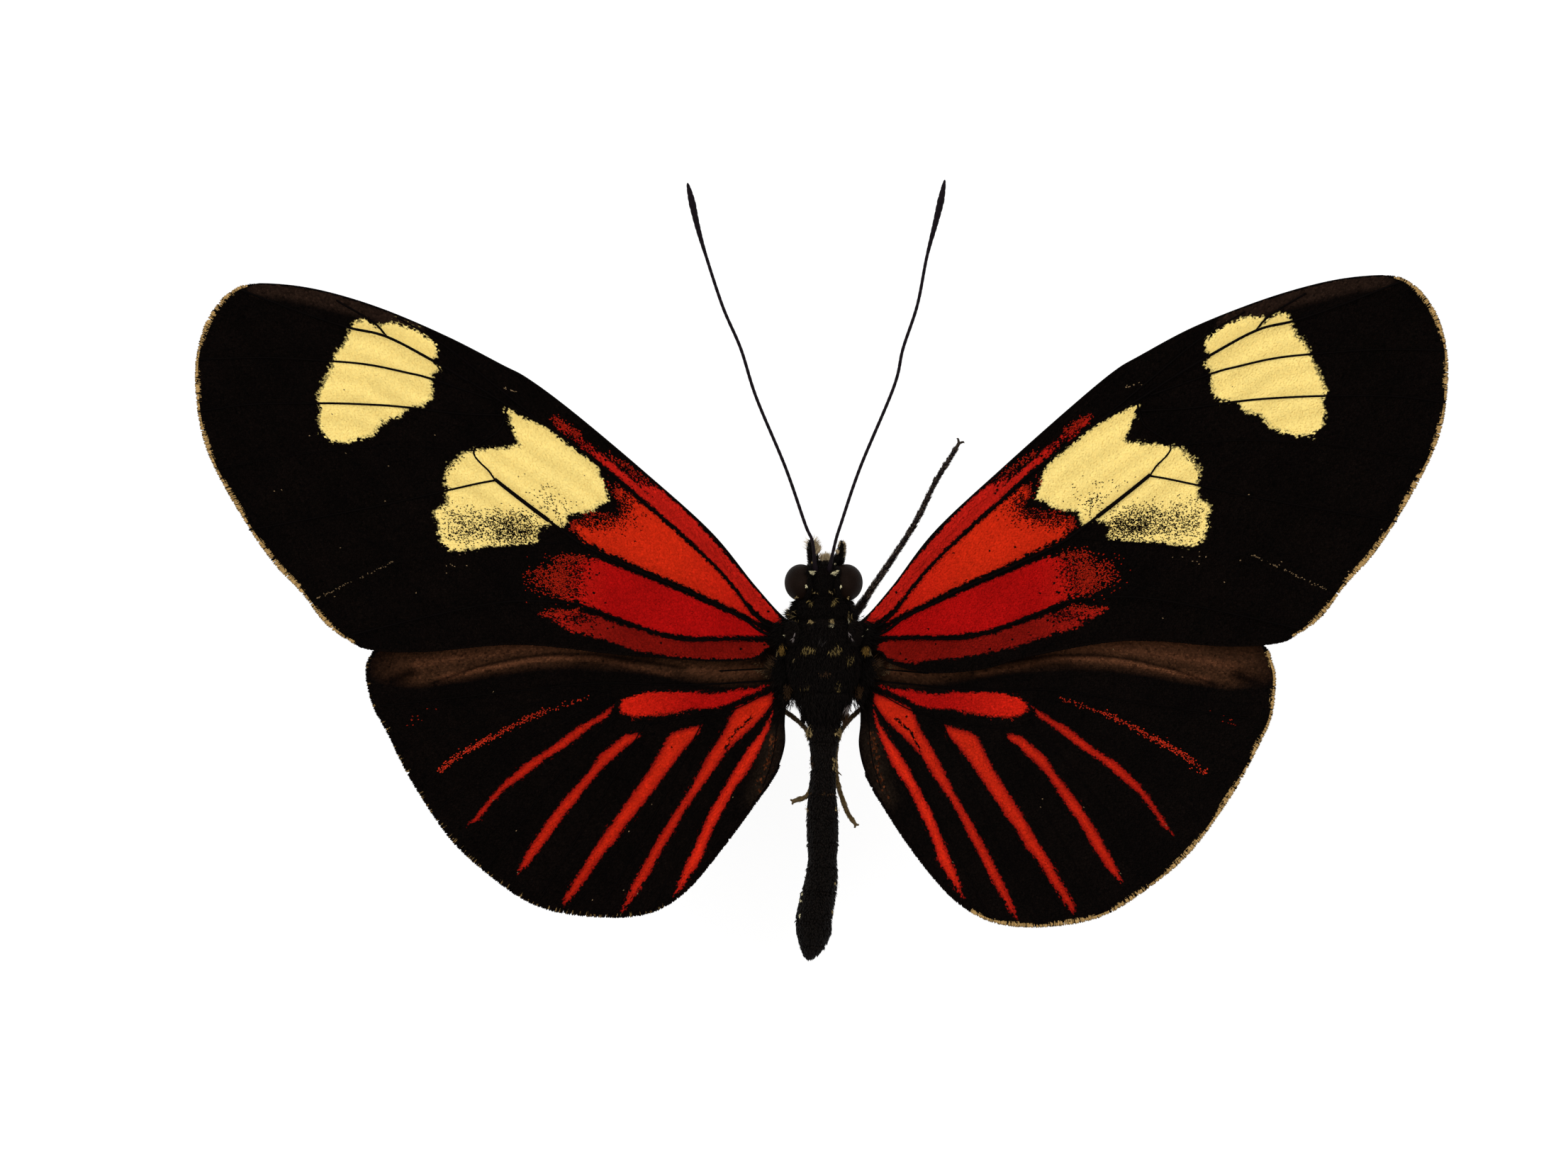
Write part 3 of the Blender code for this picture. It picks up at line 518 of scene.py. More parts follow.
eye_finish = mottled("faceted_eye", "0B0604", "1B100A", 0.6, 0.05, (0.4, 0.55), 0.0, 0.03)
eye_nodes, eye_link = eye_finish.node_tree.nodes, eye_finish.node_tree.links.new
lenses = eye_nodes.new("ShaderNodeTexVoronoi")
lenses.inputs["Scale"].default_value = 1 / (LENS_SIZE * MM)
eye_link(eye_nodes.new("ShaderNodeTexCoord").outputs["Object"], lenses.inputs["Vector"])
eye_link(lenses.outputs["Distance"], eye_nodes["Bump"].inputs["Height"])
eye_nodes["Bump"].inputs["Distance"].default_value = -LENS_DEEP * MM

for name, side in SIDES:
    bpy.ops.object.select_all(action="DESELECT")
    bpy.ops.mesh.primitive_uv_sphere_add(segments=64, ring_count=40, radius=MM, location=(0, 0, 0),
                                         rotation=(0, math.pi / 2, 0))
    bpy.ops.object.transform_apply(location=True, rotation=True, scale=True)
    bpy.context.object.scale = EYE_RADII
    bpy.context.object.location = (side * EYE_PLACE[0] * MM, EYE_PLACE[1] * MM,
                                   (EYE_PLACE[2] + BODY_HEIGHT) * MM)
    dome = take_new("eye_dome_" + name)
    pick(dome, "faces", lambda face: side * face.calc_center_median().x < EYE_CUT * MM)
    bpy.ops.mesh.delete(type="FACE")
    pick(dome, "edges", lambda edge: edge.is_boundary)
    bpy.ops.mesh.edge_face_add()
    bpy.ops.mesh.select_all(action="SELECT")
    bpy.ops.mesh.normals_make_consistent(inside=False)
    bpy.ops.object.mode_set(mode="OBJECT")
    dome.data.shade_smooth()
    finish_piece(dome, eye_finish, "eyes", "eye_" + name)
    draw = np.random.default_rng(40 + side)
    turn = draw.random(RIM_HAIRS) * 2 * math.pi
    inward = draw.uniform(0.72, 0.92, RIM_HAIRS)
    reach = np.sqrt(1 - inward ** 2)
    rim = np.column_stack((side * (EYE_PLACE[0] - EYE_RADII[0] * inward),
                           EYE_PLACE[1] + EYE_RADII[1] * reach * np.cos(turn),
                           EYE_PLACE[2] + EYE_RADII[2] * reach * np.sin(turn)))
    facing = unit(np.column_stack((np.full(RIM_HAIRS, -side * 0.5), np.cos(turn), np.sin(turn))))
    chance = draw.random((RIM_HAIRS, 3))
    behind = (np.cos(turn) < -0.45) & (np.abs(np.sin(turn)) < 0.9) & (chance[:, 2] < 0.75)
    tint = BLACK * (0.6 + 1.2 * chance[:, :1])
    tint[behind] = TAN * (0.6 + 0.5 * chance[behind, :1])
    unwrap = np.column_stack((0.05 + 0.9 * turn / (2 * math.pi), 0.1 + 0.8 * draw.random(RIM_HAIRS)))
    lie = strewn((side * 0.6, -0.6, 0.1), RIM_HAIRS, draw, 0.25)
    fringe = blades("eye_rim_hair_" + name, rim, facing, lie, draw.uniform(0.14, 0.26, RIM_HAIRS), 0.035,
                    draw.uniform(0.02, 0.06, RIM_HAIRS), tint, unwrap)
    finish_piece(fringe, coat_of_body, "body")

# Limbs are drawn from soft rod: a line is bent through the joints and given its thickness. The tongue is
# a flat spring of three turns under the face, brown and smooth, with its two halves pressed together.
COIL_PLACE = (0.0, 4.2, -1.82)
COIL_TURNS = 3.0
COIL_OUT = 0.54
COIL_IN = 0.12


def smooth_path(points, step, closed=False):
    """Spots about one step apart along a smooth line through the given points."""
    knots = np.array(points, float)
    count = len(knots)
    result = []
    for index in range(count if closed else count - 1):
        here, there = knots[index], knots[(index + 1) % count]
        before = knots[index - 1] if closed or index else 2 * here - there
        after = knots[(index + 2) % count] if closed or index + 2 < count else 2 * there - here
        pieces = max(1, round(float(np.linalg.norm((there - here)[:2])) / step))
        part = (np.arange(pieces) / pieces)[:, None]
        curve = 2 * here + (there - before) * part + (2 * before - 5 * here + 4 * there - after) * part ** 2
        result.append(0.5 * (curve + (3 * here - before - 3 * there + after) * part ** 3))
    if not closed:
        result.append(knots[-1:])
    return np.concatenate(result)


def drawn_limb(name, *runs, sides=12):
    """Round closed limbs through stations of place and radius, made from lines and turned into one mesh."""
    bpy.ops.object.select_all(action="DESELECT")
    bpy.ops.curve.primitive_nurbs_path_add(radius=MM, location=(0, 0, 0))
    line = bpy.context.object
    line.name = name
    line.data.splines.clear()
    for stations in runs:
        spline = line.data.splines.new("POLY")
        spline.points.add(len(stations) - 1)
        for point, (x, y, z, radius) in zip(spline.points, stations):
            point.co = (x * MM, y * MM, (z + BODY_HEIGHT) * MM, 1)
            point.radius = radius
    line.data.dimensions = "3D"
    line.data.bevel_depth = MM
    line.data.bevel_resolution = sides // 4
    line.data.use_fill_caps = True
    bpy.ops.object.convert(target="MESH")
    limb = bpy.context.object
    bpy.ops.object.mode_set(mode="EDIT")
    bpy.ops.mesh.select_all(action="SELECT")
    bpy.ops.mesh.remove_doubles(threshold=0.002 * MM)
    bpy.ops.mesh.normals_make_consistent(inside=False)
    bpy.ops.object.mode_set(mode="OBJECT")
    limb.data.shade_smooth()
    return limb


def lengths_of(line):
    """How far along a line each of its points lies."""
    return np.concatenate(([0], np.cumsum(np.linalg.norm(np.diff(line, axis=0), axis=1))))


def at_lengths(share, lengths, line):
    """What a line holds at given lengths along it."""
    return np.column_stack([np.interp(share, lengths, column) for column in line.T])


def along_limb(stations, count, draw, first=0.0, last=1.0):
    """Roots for hairs on a limb, the way its surface faces, and the way it runs."""
    places, radii = stations[:, :3], stations[:, 3]
    lengths = lengths_of(places)
    share = (first + (last - first) * draw.random(count)) * lengths[-1]
    middle = at_lengths(share, lengths, places)
    run = unit(at_lengths(share + 0.05, lengths, places) - at_lengths(share - 0.05, lengths, places))
    side = unit(np.cross(run, (0.0, 0.0, 1.0)))
    top = np.cross(side, run)
    turn = draw.random(count)[:, None] * 2 * math.pi
    facing = side * np.cos(turn) + top * np.sin(turn)
    unwrap = np.column_stack((0.05 + 0.9 * turn[:, 0] / (2 * math.pi), 0.05 + 0.9 * share / lengths[-1]))
    return middle + facing * np.interp(share, lengths, radii)[:, None], facing, run, unwrap


tongue_brown = mottled("tongue_brown", "2A170B", "4A2C15", 0.2, 0.03, (0.3, 0.45), 0.003, 0.4)
turns = np.linspace(0, 1, 90)
swing = math.pi * 0.55 - turns * COIL_TURNS * 2 * math.pi
reach = COIL_OUT + (COIL_IN - COIL_OUT) * turns
coil = np.column_stack((COIL_PLACE[0] + 0.02 * np.sin(turns * 9), COIL_PLACE[1] + reach * np.cos(swing),
                        COIL_PLACE[2] + reach * np.sin(swing), 0.075 - 0.045 * turns))
root = np.array([(0.0, 3.95, -1.0, 0.10), (0.0, 4.02, -1.18, 0.085)])
tongue = drawn_limb("coiled_tongue", np.concatenate((root, coil)), sides=10)
finish_piece(tongue, tongue_brown, "feelers", "proboscis")

# Palps: two upturned feelers of the mouth, three joints each, black along the top and thickly bearded
# with tan and cream hair on the sides that show between and beside them.
PALP_ROUTES = {
    "left": [(-0.45, 3.75, -0.75, 0.2), (-0.62, 4.3, -0.95, 0.2), (-0.68, 4.85, -0.75, 0.19),
        (-0.7, 5.3, -0.45, 0.17), (-0.7, 5.76, -0.12, 0.07)],
    "right": [(0.5, 3.75, -0.75, 0.2), (0.78, 4.3, -0.95, 0.2), (0.95, 4.8, -0.75, 0.19),
        (1.03, 5.25, -0.45, 0.17), (1.06, 5.68, -0.12, 0.07)]}
PALP_HAIRS = 1700
BEARD_HAIRS = 420
PALE_HAIR = paint("AE9A78")

shell_black = mottled("shell_black", "080504", "150E0A", 0.3, 0.04, (0.4, 0.6), 0.004, 0.12)
for name, route in PALP_ROUTES.items():
    stations = smooth_path(route, 0.08)
    palp = drawn_limb("mouth_palp_" + name, stations)
    finish_piece(palp, shell_black, "body", "palp_" + name)
    draw = np.random.default_rng(len(name) * 7)
    roots, facing, run, unwrap = along_limb(stations, PALP_HAIRS, draw, 0.12, 0.98)
    chance = draw.random((PALP_HAIRS, 3))
    tint = BLACK * (0.7 + 1.3 * chance[:, :1])
    inner = facing[:, 0] > 0.45 if name == "left" else np.abs(facing[:, 0]) > 0.55
    pale = inner & (facing[:, 2] > -0.6) & (roots[:, 1] > 4.75) & (chance[:, 1] < 0.62)
    pale &= (facing[:, 0] > 0) | (roots[:, 1] > 5.4)
    pale |= (facing[:, 0] < -0.6) & (roots[:, 1] > 5.0) & (chance[:, 1] < 0.12)
    pale &= (roots[:, 1] > 5.1) | (name == "right")
    tint[pale] = PALE_HAIR * (0.7 + 0.6 * chance[pale, 2:])
    long = np.where(pale, draw.uniform(0.2, 0.55, PALP_HAIRS), draw.uniform(0.1, 0.2, PALP_HAIRS))
    long = np.where(pale & (name == "right"), 0.45 * long, long)
    reach = np.where(pale, 1.7 if name == "left" else 0.4, 0.1)[:, None]
    lie = run + facing * reach * draw.uniform(0.4, 1.3, (PALP_HAIRS, 1))
    lie = lie + draw.normal(0, 0.22, (PALP_HAIRS, 3))
    upright = np.where(pale[:, None], (0.0, 0.0, 1.0), facing)
    beard = blades("palp_hair_" + name, roots, upright, lie, long, np.where(pale, 0.026, 0.04),
                   np.where(pale, 0.10, 0.09) * draw.uniform(0.3, 1.5, PALP_HAIRS), tint, unwrap)
    finish_piece(beard, coat_of_body, "body")
draw = np.random.default_rng(6)
roots = np.column_stack((draw.normal(0.1, 0.16, BEARD_HAIRS), draw.uniform(4.42, 4.78, BEARD_HAIRS),
                         draw.uniform(-0.75, -0.1, BEARD_HAIRS)))
lie = strewn((0.0, 1.0, 0.2), BEARD_HAIRS, draw, 0.32)
beard = blades("face_beard", roots, np.tile((0.0, 0.3, 0.95), (BEARD_HAIRS, 1)), lie,
               draw.uniform(0.25, 0.5, BEARD_HAIRS), 0.03, draw.uniform(0.0, 0.12, BEARD_HAIRS),
               PALE_HAIR * draw.uniform(0.6, 1.3, (BEARD_HAIRS, 1)),
               0.5 + 0.3 * (roots[:, :2] - (0.1, 4.5)))
finish_piece(beard, coat_of_body, "body")

# Feelers: one on each side of the brow, a fine jointed rod on a rounded foot, ending in a slim club. They
# are purplish black and dull, with a pale scale here and there, and they spread in a long even V.
FEELER_ROUTES = {
    "left": [(-0.42, 3.95, 0.55), (-0.5, 4.4, 0.9), (-0.65, 5.75, 1.1), (-1.06, 6.72, 1.15),
        (-2.2, 10.0, 1.35), (-3.87, 14.0, 1.7), (-4.76, 16.8, 1.9), (-5.79, 19.2, 2.1),
        (-6.78, 22.2, 2.3), (-7.24, 23.8, 2.4), (-7.58, 25.3, 2.46), (-7.82, 26.32, 2.5)],
    "right": [(0.32, 3.95, 0.55), (0.38, 4.4, 0.9), (0.68, 5.75, 1.1), (0.98, 6.72, 1.15),
        (2.1, 10.0, 1.35), (4.02, 14.6, 1.7), (4.55, 16.8, 1.9), (5.37, 19.3, 2.1), (5.9, 22.0, 2.3),
        (6.41, 24.0, 2.4), (6.72, 25.3, 2.46), (6.95, 26.5, 2.5)]}
SHAFT_RADIUS = 0.096
CLUB_RADIUS = 0.215
CLUB_START = 22.2
CLUB_FULL = 25.2
JOINT_LENGTH = 0.42
JOINT_GROOVE = 0.11
JOINT_CUT = 0.10
FOOT_RADIUS = 0.16
FOOT_LENGTH = 0.55
NECK_RADIUS = 0.115
NECK_LENGTH = 0.9

feeler_black = mottled("feeler_black", "070406", "150C12", 0.5, 0.04, (0.45, 0.65), 0.004, 0.06)
for name, route in FEELER_ROUTES.items():
    line = smooth_path(route, 0.105)
    reach = lengths_of(line)
    swell = ramp(line[:, 1], CLUB_START, CLUB_FULL - CLUB_START)
    taper = np.clip((line[-1, 1] - line[:, 1]) / (line[-1, 1] - CLUB_FULL), 0, 1)
    radius = SHAFT_RADIUS + (CLUB_RADIUS - SHAFT_RADIUS) * swell
    radius = radius * np.where(line[:, 1] > CLUB_FULL, np.sqrt(taper) * 0.9 + 0.1, 1.0)
    radius = radius * (1.0 - JOINT_CUT * (np.mod(reach, JOINT_LENGTH) < JOINT_GROOVE))
    radius[reach < FOOT_LENGTH] = FOOT_RADIUS
    radius[(reach > FOOT_LENGTH) & (reach < NECK_LENGTH)] = NECK_RADIUS
    feeler = drawn_limb("feeler_" + name, np.column_stack((line, radius)))
    finish_piece(feeler, feeler_black, "feelers", "antenna_" + name)

# Legs: six jointed legs, the front pair small, bearded and folded under the chest, as in all brush-footed
# butterflies. The others have a thigh, a spined shin with two spurs, a five-jointed foot and two hooked
# claws.
LEG_ROUTES = {
    "midleg_right": [(0.85, 0.3, -1.7), (1.4, 1.1, -2.5), (2.15, 2.05, -2.75), (2.6, 2.75, -2.8),
        (5.11, 6.54, -2.95), (6.43, 9.16, -3.05), (7.29, 10.55, -3.15), (7.82, 11.44, -3.3)],
    "midleg_left": [(-0.85, 0.3, -1.7), (-1.9, 0.8, -2.7), (-2.75, 0.75, -3.1), (-3.1, 0.1, -3.2),
        (-4.2, -2.8, -3.5), (-5.0, -4.6, -3.7), (-5.6, -6.0, -3.9), (-5.9, -6.7, -4.1)],
    "hindleg_right": [(0.8, -1.9, -1.6), (2.2, -2.4, -2.5), (3.1, -2.8, -2.75), (2.75, -3.3, -2.6),
        (0.95, -5.25, -1.95), (0.72, -7.6, -1.8), (1.29, -9.65, -1.8), (1.84, -10.55, -1.85)],
    "hindleg_left": [(-0.8, -1.9, -1.6), (-2.3, -2.5, -2.5), (-3.3, -3.0, -2.75), (-2.95, -3.5, -2.6),
        (-1.0, -5.08, -1.95), (-0.5, -7.0, -1.8), (-0.85, -8.75, -1.8), (-1.74, -9.21, -1.85)]}
LEG_RADII = {
    "midleg": (0.30, 0.26, 0.25, 0.18, 0.14, 0.12, 0.12, 0.1),
    "hindleg": (0.28, 0.22, 0.18, 0.14, 0.11, 0.115, 0.12, 0.1)}
FORELEG_ROUTE = [
    (0.6, 2.0, -1.0, 0.17), (0.8, 2.15, -1.75, 0.16), (0.92, 2.7, -2.2, 0.14), (0.95, 3.5, -2.35, 0.12),
    (0.85, 4.25, -2.5, 0.05)]
TOE_LENGTH = 1.05
TOE_SWELL = 0.28
CLAW = [
    (-0.05, 0.0, 0.0, 0.08), (0.08, 0.1, 0.02, 0.07), (0.16, 0.19, 0.08, 0.055),
    (0.12, 0.27, 0.14, 0.012)]
SPUR = [(-0.1, 0.04, 0.06), (0.1, 0.15, 0.045), (0.3, 0.2, 0.012)]
LEG_HAIRS = 2600
LEG_GREY = paint("6E5F52")
LEG_OLIVE = paint("64502F")

leg_brown = mottled("leg_brown", "17100A", "33261A", 0.4, 0.04, (0.4, 0.6), 0.005, 0.15)
leg_olive = mottled("leg_olive", "3A2C16", "64502F", 0.4, 0.04, (0.4, 0.6), 0.005, 0.15)
leg_coat = tinted("leg_coat", (0.5, 0.7), 0.04)
all_legs = {name: [(*spot, radius) for spot, radius in zip(route, LEG_RADII[name.split("_")[0]])]
            for name, route in LEG_ROUTES.items()}
all_legs["foreleg_right"] = FORELEG_ROUTE
all_legs["foreleg_left"] = [(-x, y, z, radius) for x, y, z, radius in FORELEG_ROUTE]
for name, route in all_legs.items():
    walking = not name.startswith("fore")
    hind = name.startswith("hind")
    stations = smooth_path(route, 0.12)
    draw = np.random.default_rng(len(name) + int(1000 * abs(route[1][0])))
    if walking:
        foot = np.array(route[4][:3])
        past = np.linalg.norm(stations[:, :3] - foot, axis=1)
        beyond = np.arange(len(stations)) > np.argmin(past)
        stations[beyond, 3] *= 1 + TOE_SWELL * (np.mod(past[beyond], TOE_LENGTH) > 0.8)
    leg = drawn_limb("jointed_" + name, stations, sides=10)
    if walking:
        tip, run = stations[-1], unit(stations[-1:, :3] - stations[-3:-2, :3])[0]
        aside = np.array((-run[1], run[0], 0.0))
        spread = 0.65 if hind else 1.0
        for number, way in enumerate((-1, 1)):
            hook = [(*(tip[:3] + spread * (run * out + aside * way * off) - (0, 0, down)), size)
                    for out, off, down, size in CLAW]
            claw = drawn_limb("claw", smooth_path(hook, 0.03), sides=8)
            spur_at = np.array(route[4 + number][:3])
            spur = [(*(spur_at + run * out + aside * way * off), size) for out, off, size in SPUR]
            thorn = drawn_limb("spur", smooth_path(spur, 0.05), sides=8)
            bpy.ops.object.select_all(action="DESELECT")
            for part in (claw, thorn, leg):
                part.select_set(True)
            bpy.context.view_layer.objects.active = leg
            bpy.ops.object.join()
    finish_piece(leg, leg_olive if hind else leg_brown, "legs", name)
    roots, facing, run, unwrap = along_limb(stations, LEG_HAIRS, draw, 0.0, 0.97)
    chance = draw.random((LEG_HAIRS, 1))
    pale = chance[:, 0] > (0.82 if name != "hindleg_right" else 0.55)
    if name == "midleg_right":
        pale = chance[:, 0] > np.interp(roots[:, 1], (2.3, 2.6, 3.6, 4.6), (1.0, 0.5, 0.6, 0.86))
    tint = paint("181114") * (0.5 + 1.4 * draw.random((LEG_HAIRS, 1)))
    tint[pale] = LEG_GREY * (0.6 + 0.7 * draw.random((int(pale.sum()), 1)))
    if hind:
        foot_olive = LEG_OLIVE * (0.6 + 0.9 * draw.random((LEG_HAIRS, 1)))
        tint = tint + (foot_olive - tint) * np.interp(roots[:, 1:2], (-7.5, -5.5, -3.5), (1.0, 0.6, 0.25))
    upper = np.interp(unwrap[:, 1], (0.05, 0.55, 0.95), (1.0, 0.75, 0.55))
    slim = 0.5 if hind else 0.8 if walking else 1.0
    long = draw.uniform(0.13, 0.27, LEG_HAIRS) * upper * (1.0 if walking else 1.7)
    lie = run + facing * 0.25 + draw.normal(0, 0.16, (LEG_HAIRS, 3))
    down = blades(name + "_hair", roots, facing, lie, long, 0.04 * slim + 0.012,
                  draw.uniform(0.02, 0.09, LEG_HAIRS) * slim, tint, unwrap)
    finish_piece(down, leg_coat, "legs")

# Hindwings: a pair of parchment-thin sheets on a fan of hollow veins, set into the side of the thorax below
# the forewings. Both faces are tiled with flat scales, black with a red bar and a fan of red rays, and the
# edge has a fringe of short hair.
WING_ROOT_HEIGHT = 0.6
WING_RISE = 0.05
WING_DROOP = 1.2
WING_DROOP_SPAN = 20.0
LAPS = {"fore": 0.1, "hind": 1.13}
HINGES = {"fore": np.array((2.5, 0.5)), "hind": np.array((2.5, -2.5))}
RIGHT_TURNS = {"fore": math.radians(0.9), "hind": math.radians(-2.2)}
SHEET_HALF = 0.02
SHEET_GRID = 0.34
EDGE_STEP = 0.28
FRINGE_INSET = 0.2
TROUGH = 0.07
TROUGH_REACH = 1.5
SCALE_GRID = 0.122
SCALE_LONG = 0.2
SCALE_WIDE = 0.14
SCALE_RISE = 0.05
SCALE_SEEN = 0.7
SCALE_SHIFT = 0.018
SCALE_LOOSE = 0.006
DUST_LONG = 0.095
DUST_WIDE = 0.055
DUST_RISE = 0.02
VEIN_PROUD = 0.05
RIM_RADIUS = 0.075
MARGIN_RADIUS = 0.045
FRINGE_STEP = 0.034
FRINGE_DEEP = 0.12
FRINGE_WIDE = 0.1
FLOW_START = {"fore": np.array((-3.0, -3.0)), "hind": np.array((0.0, 1.5))}
WING_BLACK = paint("070403")
WING_BROWN = paint("352013")
# The lighter brown of the painted satin-sheen streaks on the hindwing's brown patch
SHEEN_STREAK_BROWN = paint("563421")
PALE_DUST = paint("7A6448")
RED_DUST = paint("A8200F")
UNDER_DARK = paint("1E1610")
FRINGE_TAN = paint("B8945C")

HINDWING_OUTLINE = [
    (1.0, -0.5), (3.0, -0.05), (5.5, 0.05), (8.0, 0.3), (13.0, 0.7), (18.0, 0.8), (22.0, 0.7),
    (25.0, 0.25), (26.0, -0.7), (26.33, -1.7), (26.0, -3.5), (25.1, -5.25), (24.0, -7.5), (22.4, -10.1),
    (21.0, -11.9), (19.0, -13.65), (17.0, -15.0), (15.0, -15.65), (12.3, -15.9), (10.0, -15.65),
    (8.0, -14.5), (6.0, -12.2), (4.0, -9.5), (2.7, -7.6), (2.15, -6.0), (2.15, -4.6), (1.95, -3.5),
    (1.0, -3.0)]

# Where the right wing is a little fuller than the left: place, how far round it, and the push across and
# along
HIND_SWELLS = [
    (24.6, 0.4, 1.7, 0.1, 0.5),
    (26.3, -1.7, 1.6, -0.4, 0.0),
    (5.0, -11.0, 3.5, -0.28, -0.15),
    (12.3, -15.9, 3.0, 0.0, -0.18)]

# Each vein is its half width, how high it stands, and the points that it runs through
HINDWING_VEINS = [
    (0.12, 0.07, [(2.0, -1.5), (6, -1.7), (12, -1.2), (18, -0.8), (25.5, -1.2)]),
    (0.10, 0.06, [(2.0, -2.2), (8, -2.5), (13, -2.4), (19, -3.0), (25.5, -3.7)]),
    (0.07, 0.045, [(12.3, -2.8), (18, -3.9), (24.6, -6.3)]),
    (0.07, 0.045, [(12.2, -3.4), (17, -5.6), (22.4, -9.8)]),
    (0.07, 0.045, [(11.9, -4.3), (15.5, -8.0), (19.5, -13.2)]),
    (0.07, 0.045, [(10.2, -4.6), (12.6, -8.7), (16.5, -15.1)]),
    (0.07, 0.045, [(6.8, -4.3), (9.3, -9.2), (13, -15.8)]),
    (0.09, 0.055, [(2.0, -2.7), (2.8, -2.75), (5.2, -3.9), (8, -4.4), (10.2, -4.7), (11.9, -4.3),
     (12.2, -3.4), (12.3, -2.5)]),
    (0.08, 0.05, [(2.0, -3.0), (2.8, -3.4), (5.4, -7.5), (10, -15.5)]),
    (0.07, 0.045, [(2.6, -3.8), (2.9, -6.5), (3.5, -8.4)])]

CELL_BAR = [
    (3.17, -2.54), (4, -2.75), (5, -2.8), (6, -3.0), (6.8, -3.05), (7.5, -2.92), (9, -2.92), (10, -2.92),
    (10.67, -3.08), (11.5, -3.33), (11.75, -3.75), (11.6, -4.08), (11.17, -4.25), (10.5, -4.33),
    (9.5, -4.25), (8.5, -4.08), (7.5, -3.83), (6.5, -3.83), (5.67, -3.67), (5.17, -3.5), (4.67, -3.17),
    (4, -2.92)]
RAYS = [
    [(2.92, -4.0), (3.25, -4.67), (3.67, -5.33), (4.33, -6.17), (5, -7.17), (5.58, -8.17), (6, -8.92),
     (6.5, -9.67), (6.83, -10.5), (7.17, -11.25), (7.58, -12.17), (8, -13), (8.33, -13.9), (8.54, -14.55),
     (8.25, -14.25), (7.83, -13.67), (7.33, -13), (7, -12.42), (6.75, -11.67), (6.33, -10.67),
     (5.92, -10), (5.5, -9.17), (5, -8.25), (4.5, -7.67), (4, -6.83), (3.5, -5.83), (3.17, -5)],
    [(2.92, -3.0), (4, -3.33), (5, -3.83), (5.33, -4.33), (5.67, -5.08), (6.5, -6.33), (7, -7.25),
     (7.67, -8.5), (8.33, -9.5), (9, -10.5), (9.5, -11.33), (10, -12.17), (10.5, -13.08), (11, -14.08),
     (11.42, -14.92), (11.58, -15.5), (11.17, -15.08), (10.67, -14.33), (10, -13.33), (9.5, -12.33),
     (9, -11.5), (8.5, -10.67), (8, -9.75), (7.5, -9), (7, -8.33), (6.5, -7.7), (6, -6.92), (5.67, -6.42),
     (5, -5.75), (4.17, -5), (3.67, -4.5), (3.0, -3.75)],
    [(7.08, -4.83), (7.83, -5), (8.5, -5.17), (8.92, -5.42), (9.25, -6.08), (9.67, -6.83), (10.08, -7.5),
     (10.67, -8.33), (11.33, -9.25), (11.92, -10.08), (12.5, -10.92), (13.08, -11.75), (13.58, -12.5),
     (14, -13.25), (14.5, -14), (14.87, -14.58), (14.95, -15.12), (14.8, -15.08), (14.33, -14.58),
     (14, -14.1), (13.5, -13.42), (13, -12.67), (12.5, -12), (12, -11.5), (11.42, -10.58), (10.83, -9.92),
     (10.25, -9.17), (9.67, -8.42), (9, -7.5), (8.33, -6.58), (7.83, -6), (7.17, -5.25)],
    [(10.58, -5.38), (10.92, -5.29), (11.5, -5.42), (12.17, -6), (12.83, -6.5), (13.5, -7.5),
     (14.17, -8.25), (14.92, -9.08), (15.5, -9.83), (16, -10.5), (16.5, -11.25), (17, -12),
     (17.33, -12.67), (17.6, -13.35), (16.92, -12.75), (16.42, -12.08), (15.92, -11.42), (15.42, -10.75),
     (15, -10.08), (14.33, -9.33), (13.67, -8.42), (12.92, -7.5), (12.42, -7), (11.83, -6.5), (11.33, -6),
     (10.67, -5.54)],
    [(12.04, -3.67), (12.75, -4.17), (13.33, -4.5), (14, -4.83), (15, -5.6), (16, -6.33), (17, -6.92),
     (17.67, -7.5), (18.5, -8.25), (19.17, -9), (19.83, -9.83), (20.42, -10.6), (19.83, -10.2),
     (19.17, -9.4), (18.33, -8.5), (17, -7.58), (16, -6.75), (15, -6.17), (14, -5.42), (13.17, -4.75),
     (12.42, -4.33)]]
THIN_RAY = [
    (13.5, -3.2), (15, -3.67), (16, -4.0), (17.67, -4.75), (19, -5.5), (20.67, -6.33), (22.1, -7.46)]
SLIT = [(4.2, -4.4), (5.1, -5.2), (5.7, -6.2)]
INNER_STREAK = [(2.93, -5.5), (3.05, -6.4), (3.2, -7.0), (3.4, -7.6), (3.65, -8.4), (3.85, -9.0)]
BROWN_FRONT = [
    (1.5, -2.3), (3.9, -2.4), (5.75, -2.4), (8.25, -1.98), (10.1, -1.62), (12.0, -1.46), (14.5, -1.32),
    (16.4, -1.4), (18.25, -1.65), (20.75, -2.1), (23.25, -2.45), (25.1, -2.3), (26.0, -1.9), (26.5, 1.5),
    (1.5, 1.5)]
# Painted sheen: lighter streaks laid over the real brown patch at the hindwing's front, each its half width,
# strength and line
BROWN_SHEEN_STREAKS = [
    (0.16, 1.0, [(8.9, -1.9), (10.75, -1.5), (13.25, -1.0), (15.1, -0.95), (17, -1.1), (19.5, -1.6),
     (22, -2.1)]),
    (0.25, 0.6, [(12.0, -0.35), (16.0, -0.3), (20, -0.75), (23.5, -1.3)]),
    (0.4, 0.45, [(16.0, 0.2), (21.5, -0.2)]),
    (0.3, 0.5, [(3.3, -1.6), (5.5, -1.7), (7.5, -1.6)])]
DARK_STREAKS = [
    (0.09, 0.75, [(8.0, -1.55), (10.75, -1.1), (13.25, -0.74), (15.75, -0.75), (17.6, -0.94), (20, -1.5),
     (22.5, -2.4)]),
    (0.4, 0.85, [(23.7, -1.8), (24.8, -2.3)]),
    (0.45, 0.55, [(10.0, -0.9), (12.0, -1.15), (14.0, -1.3)])]

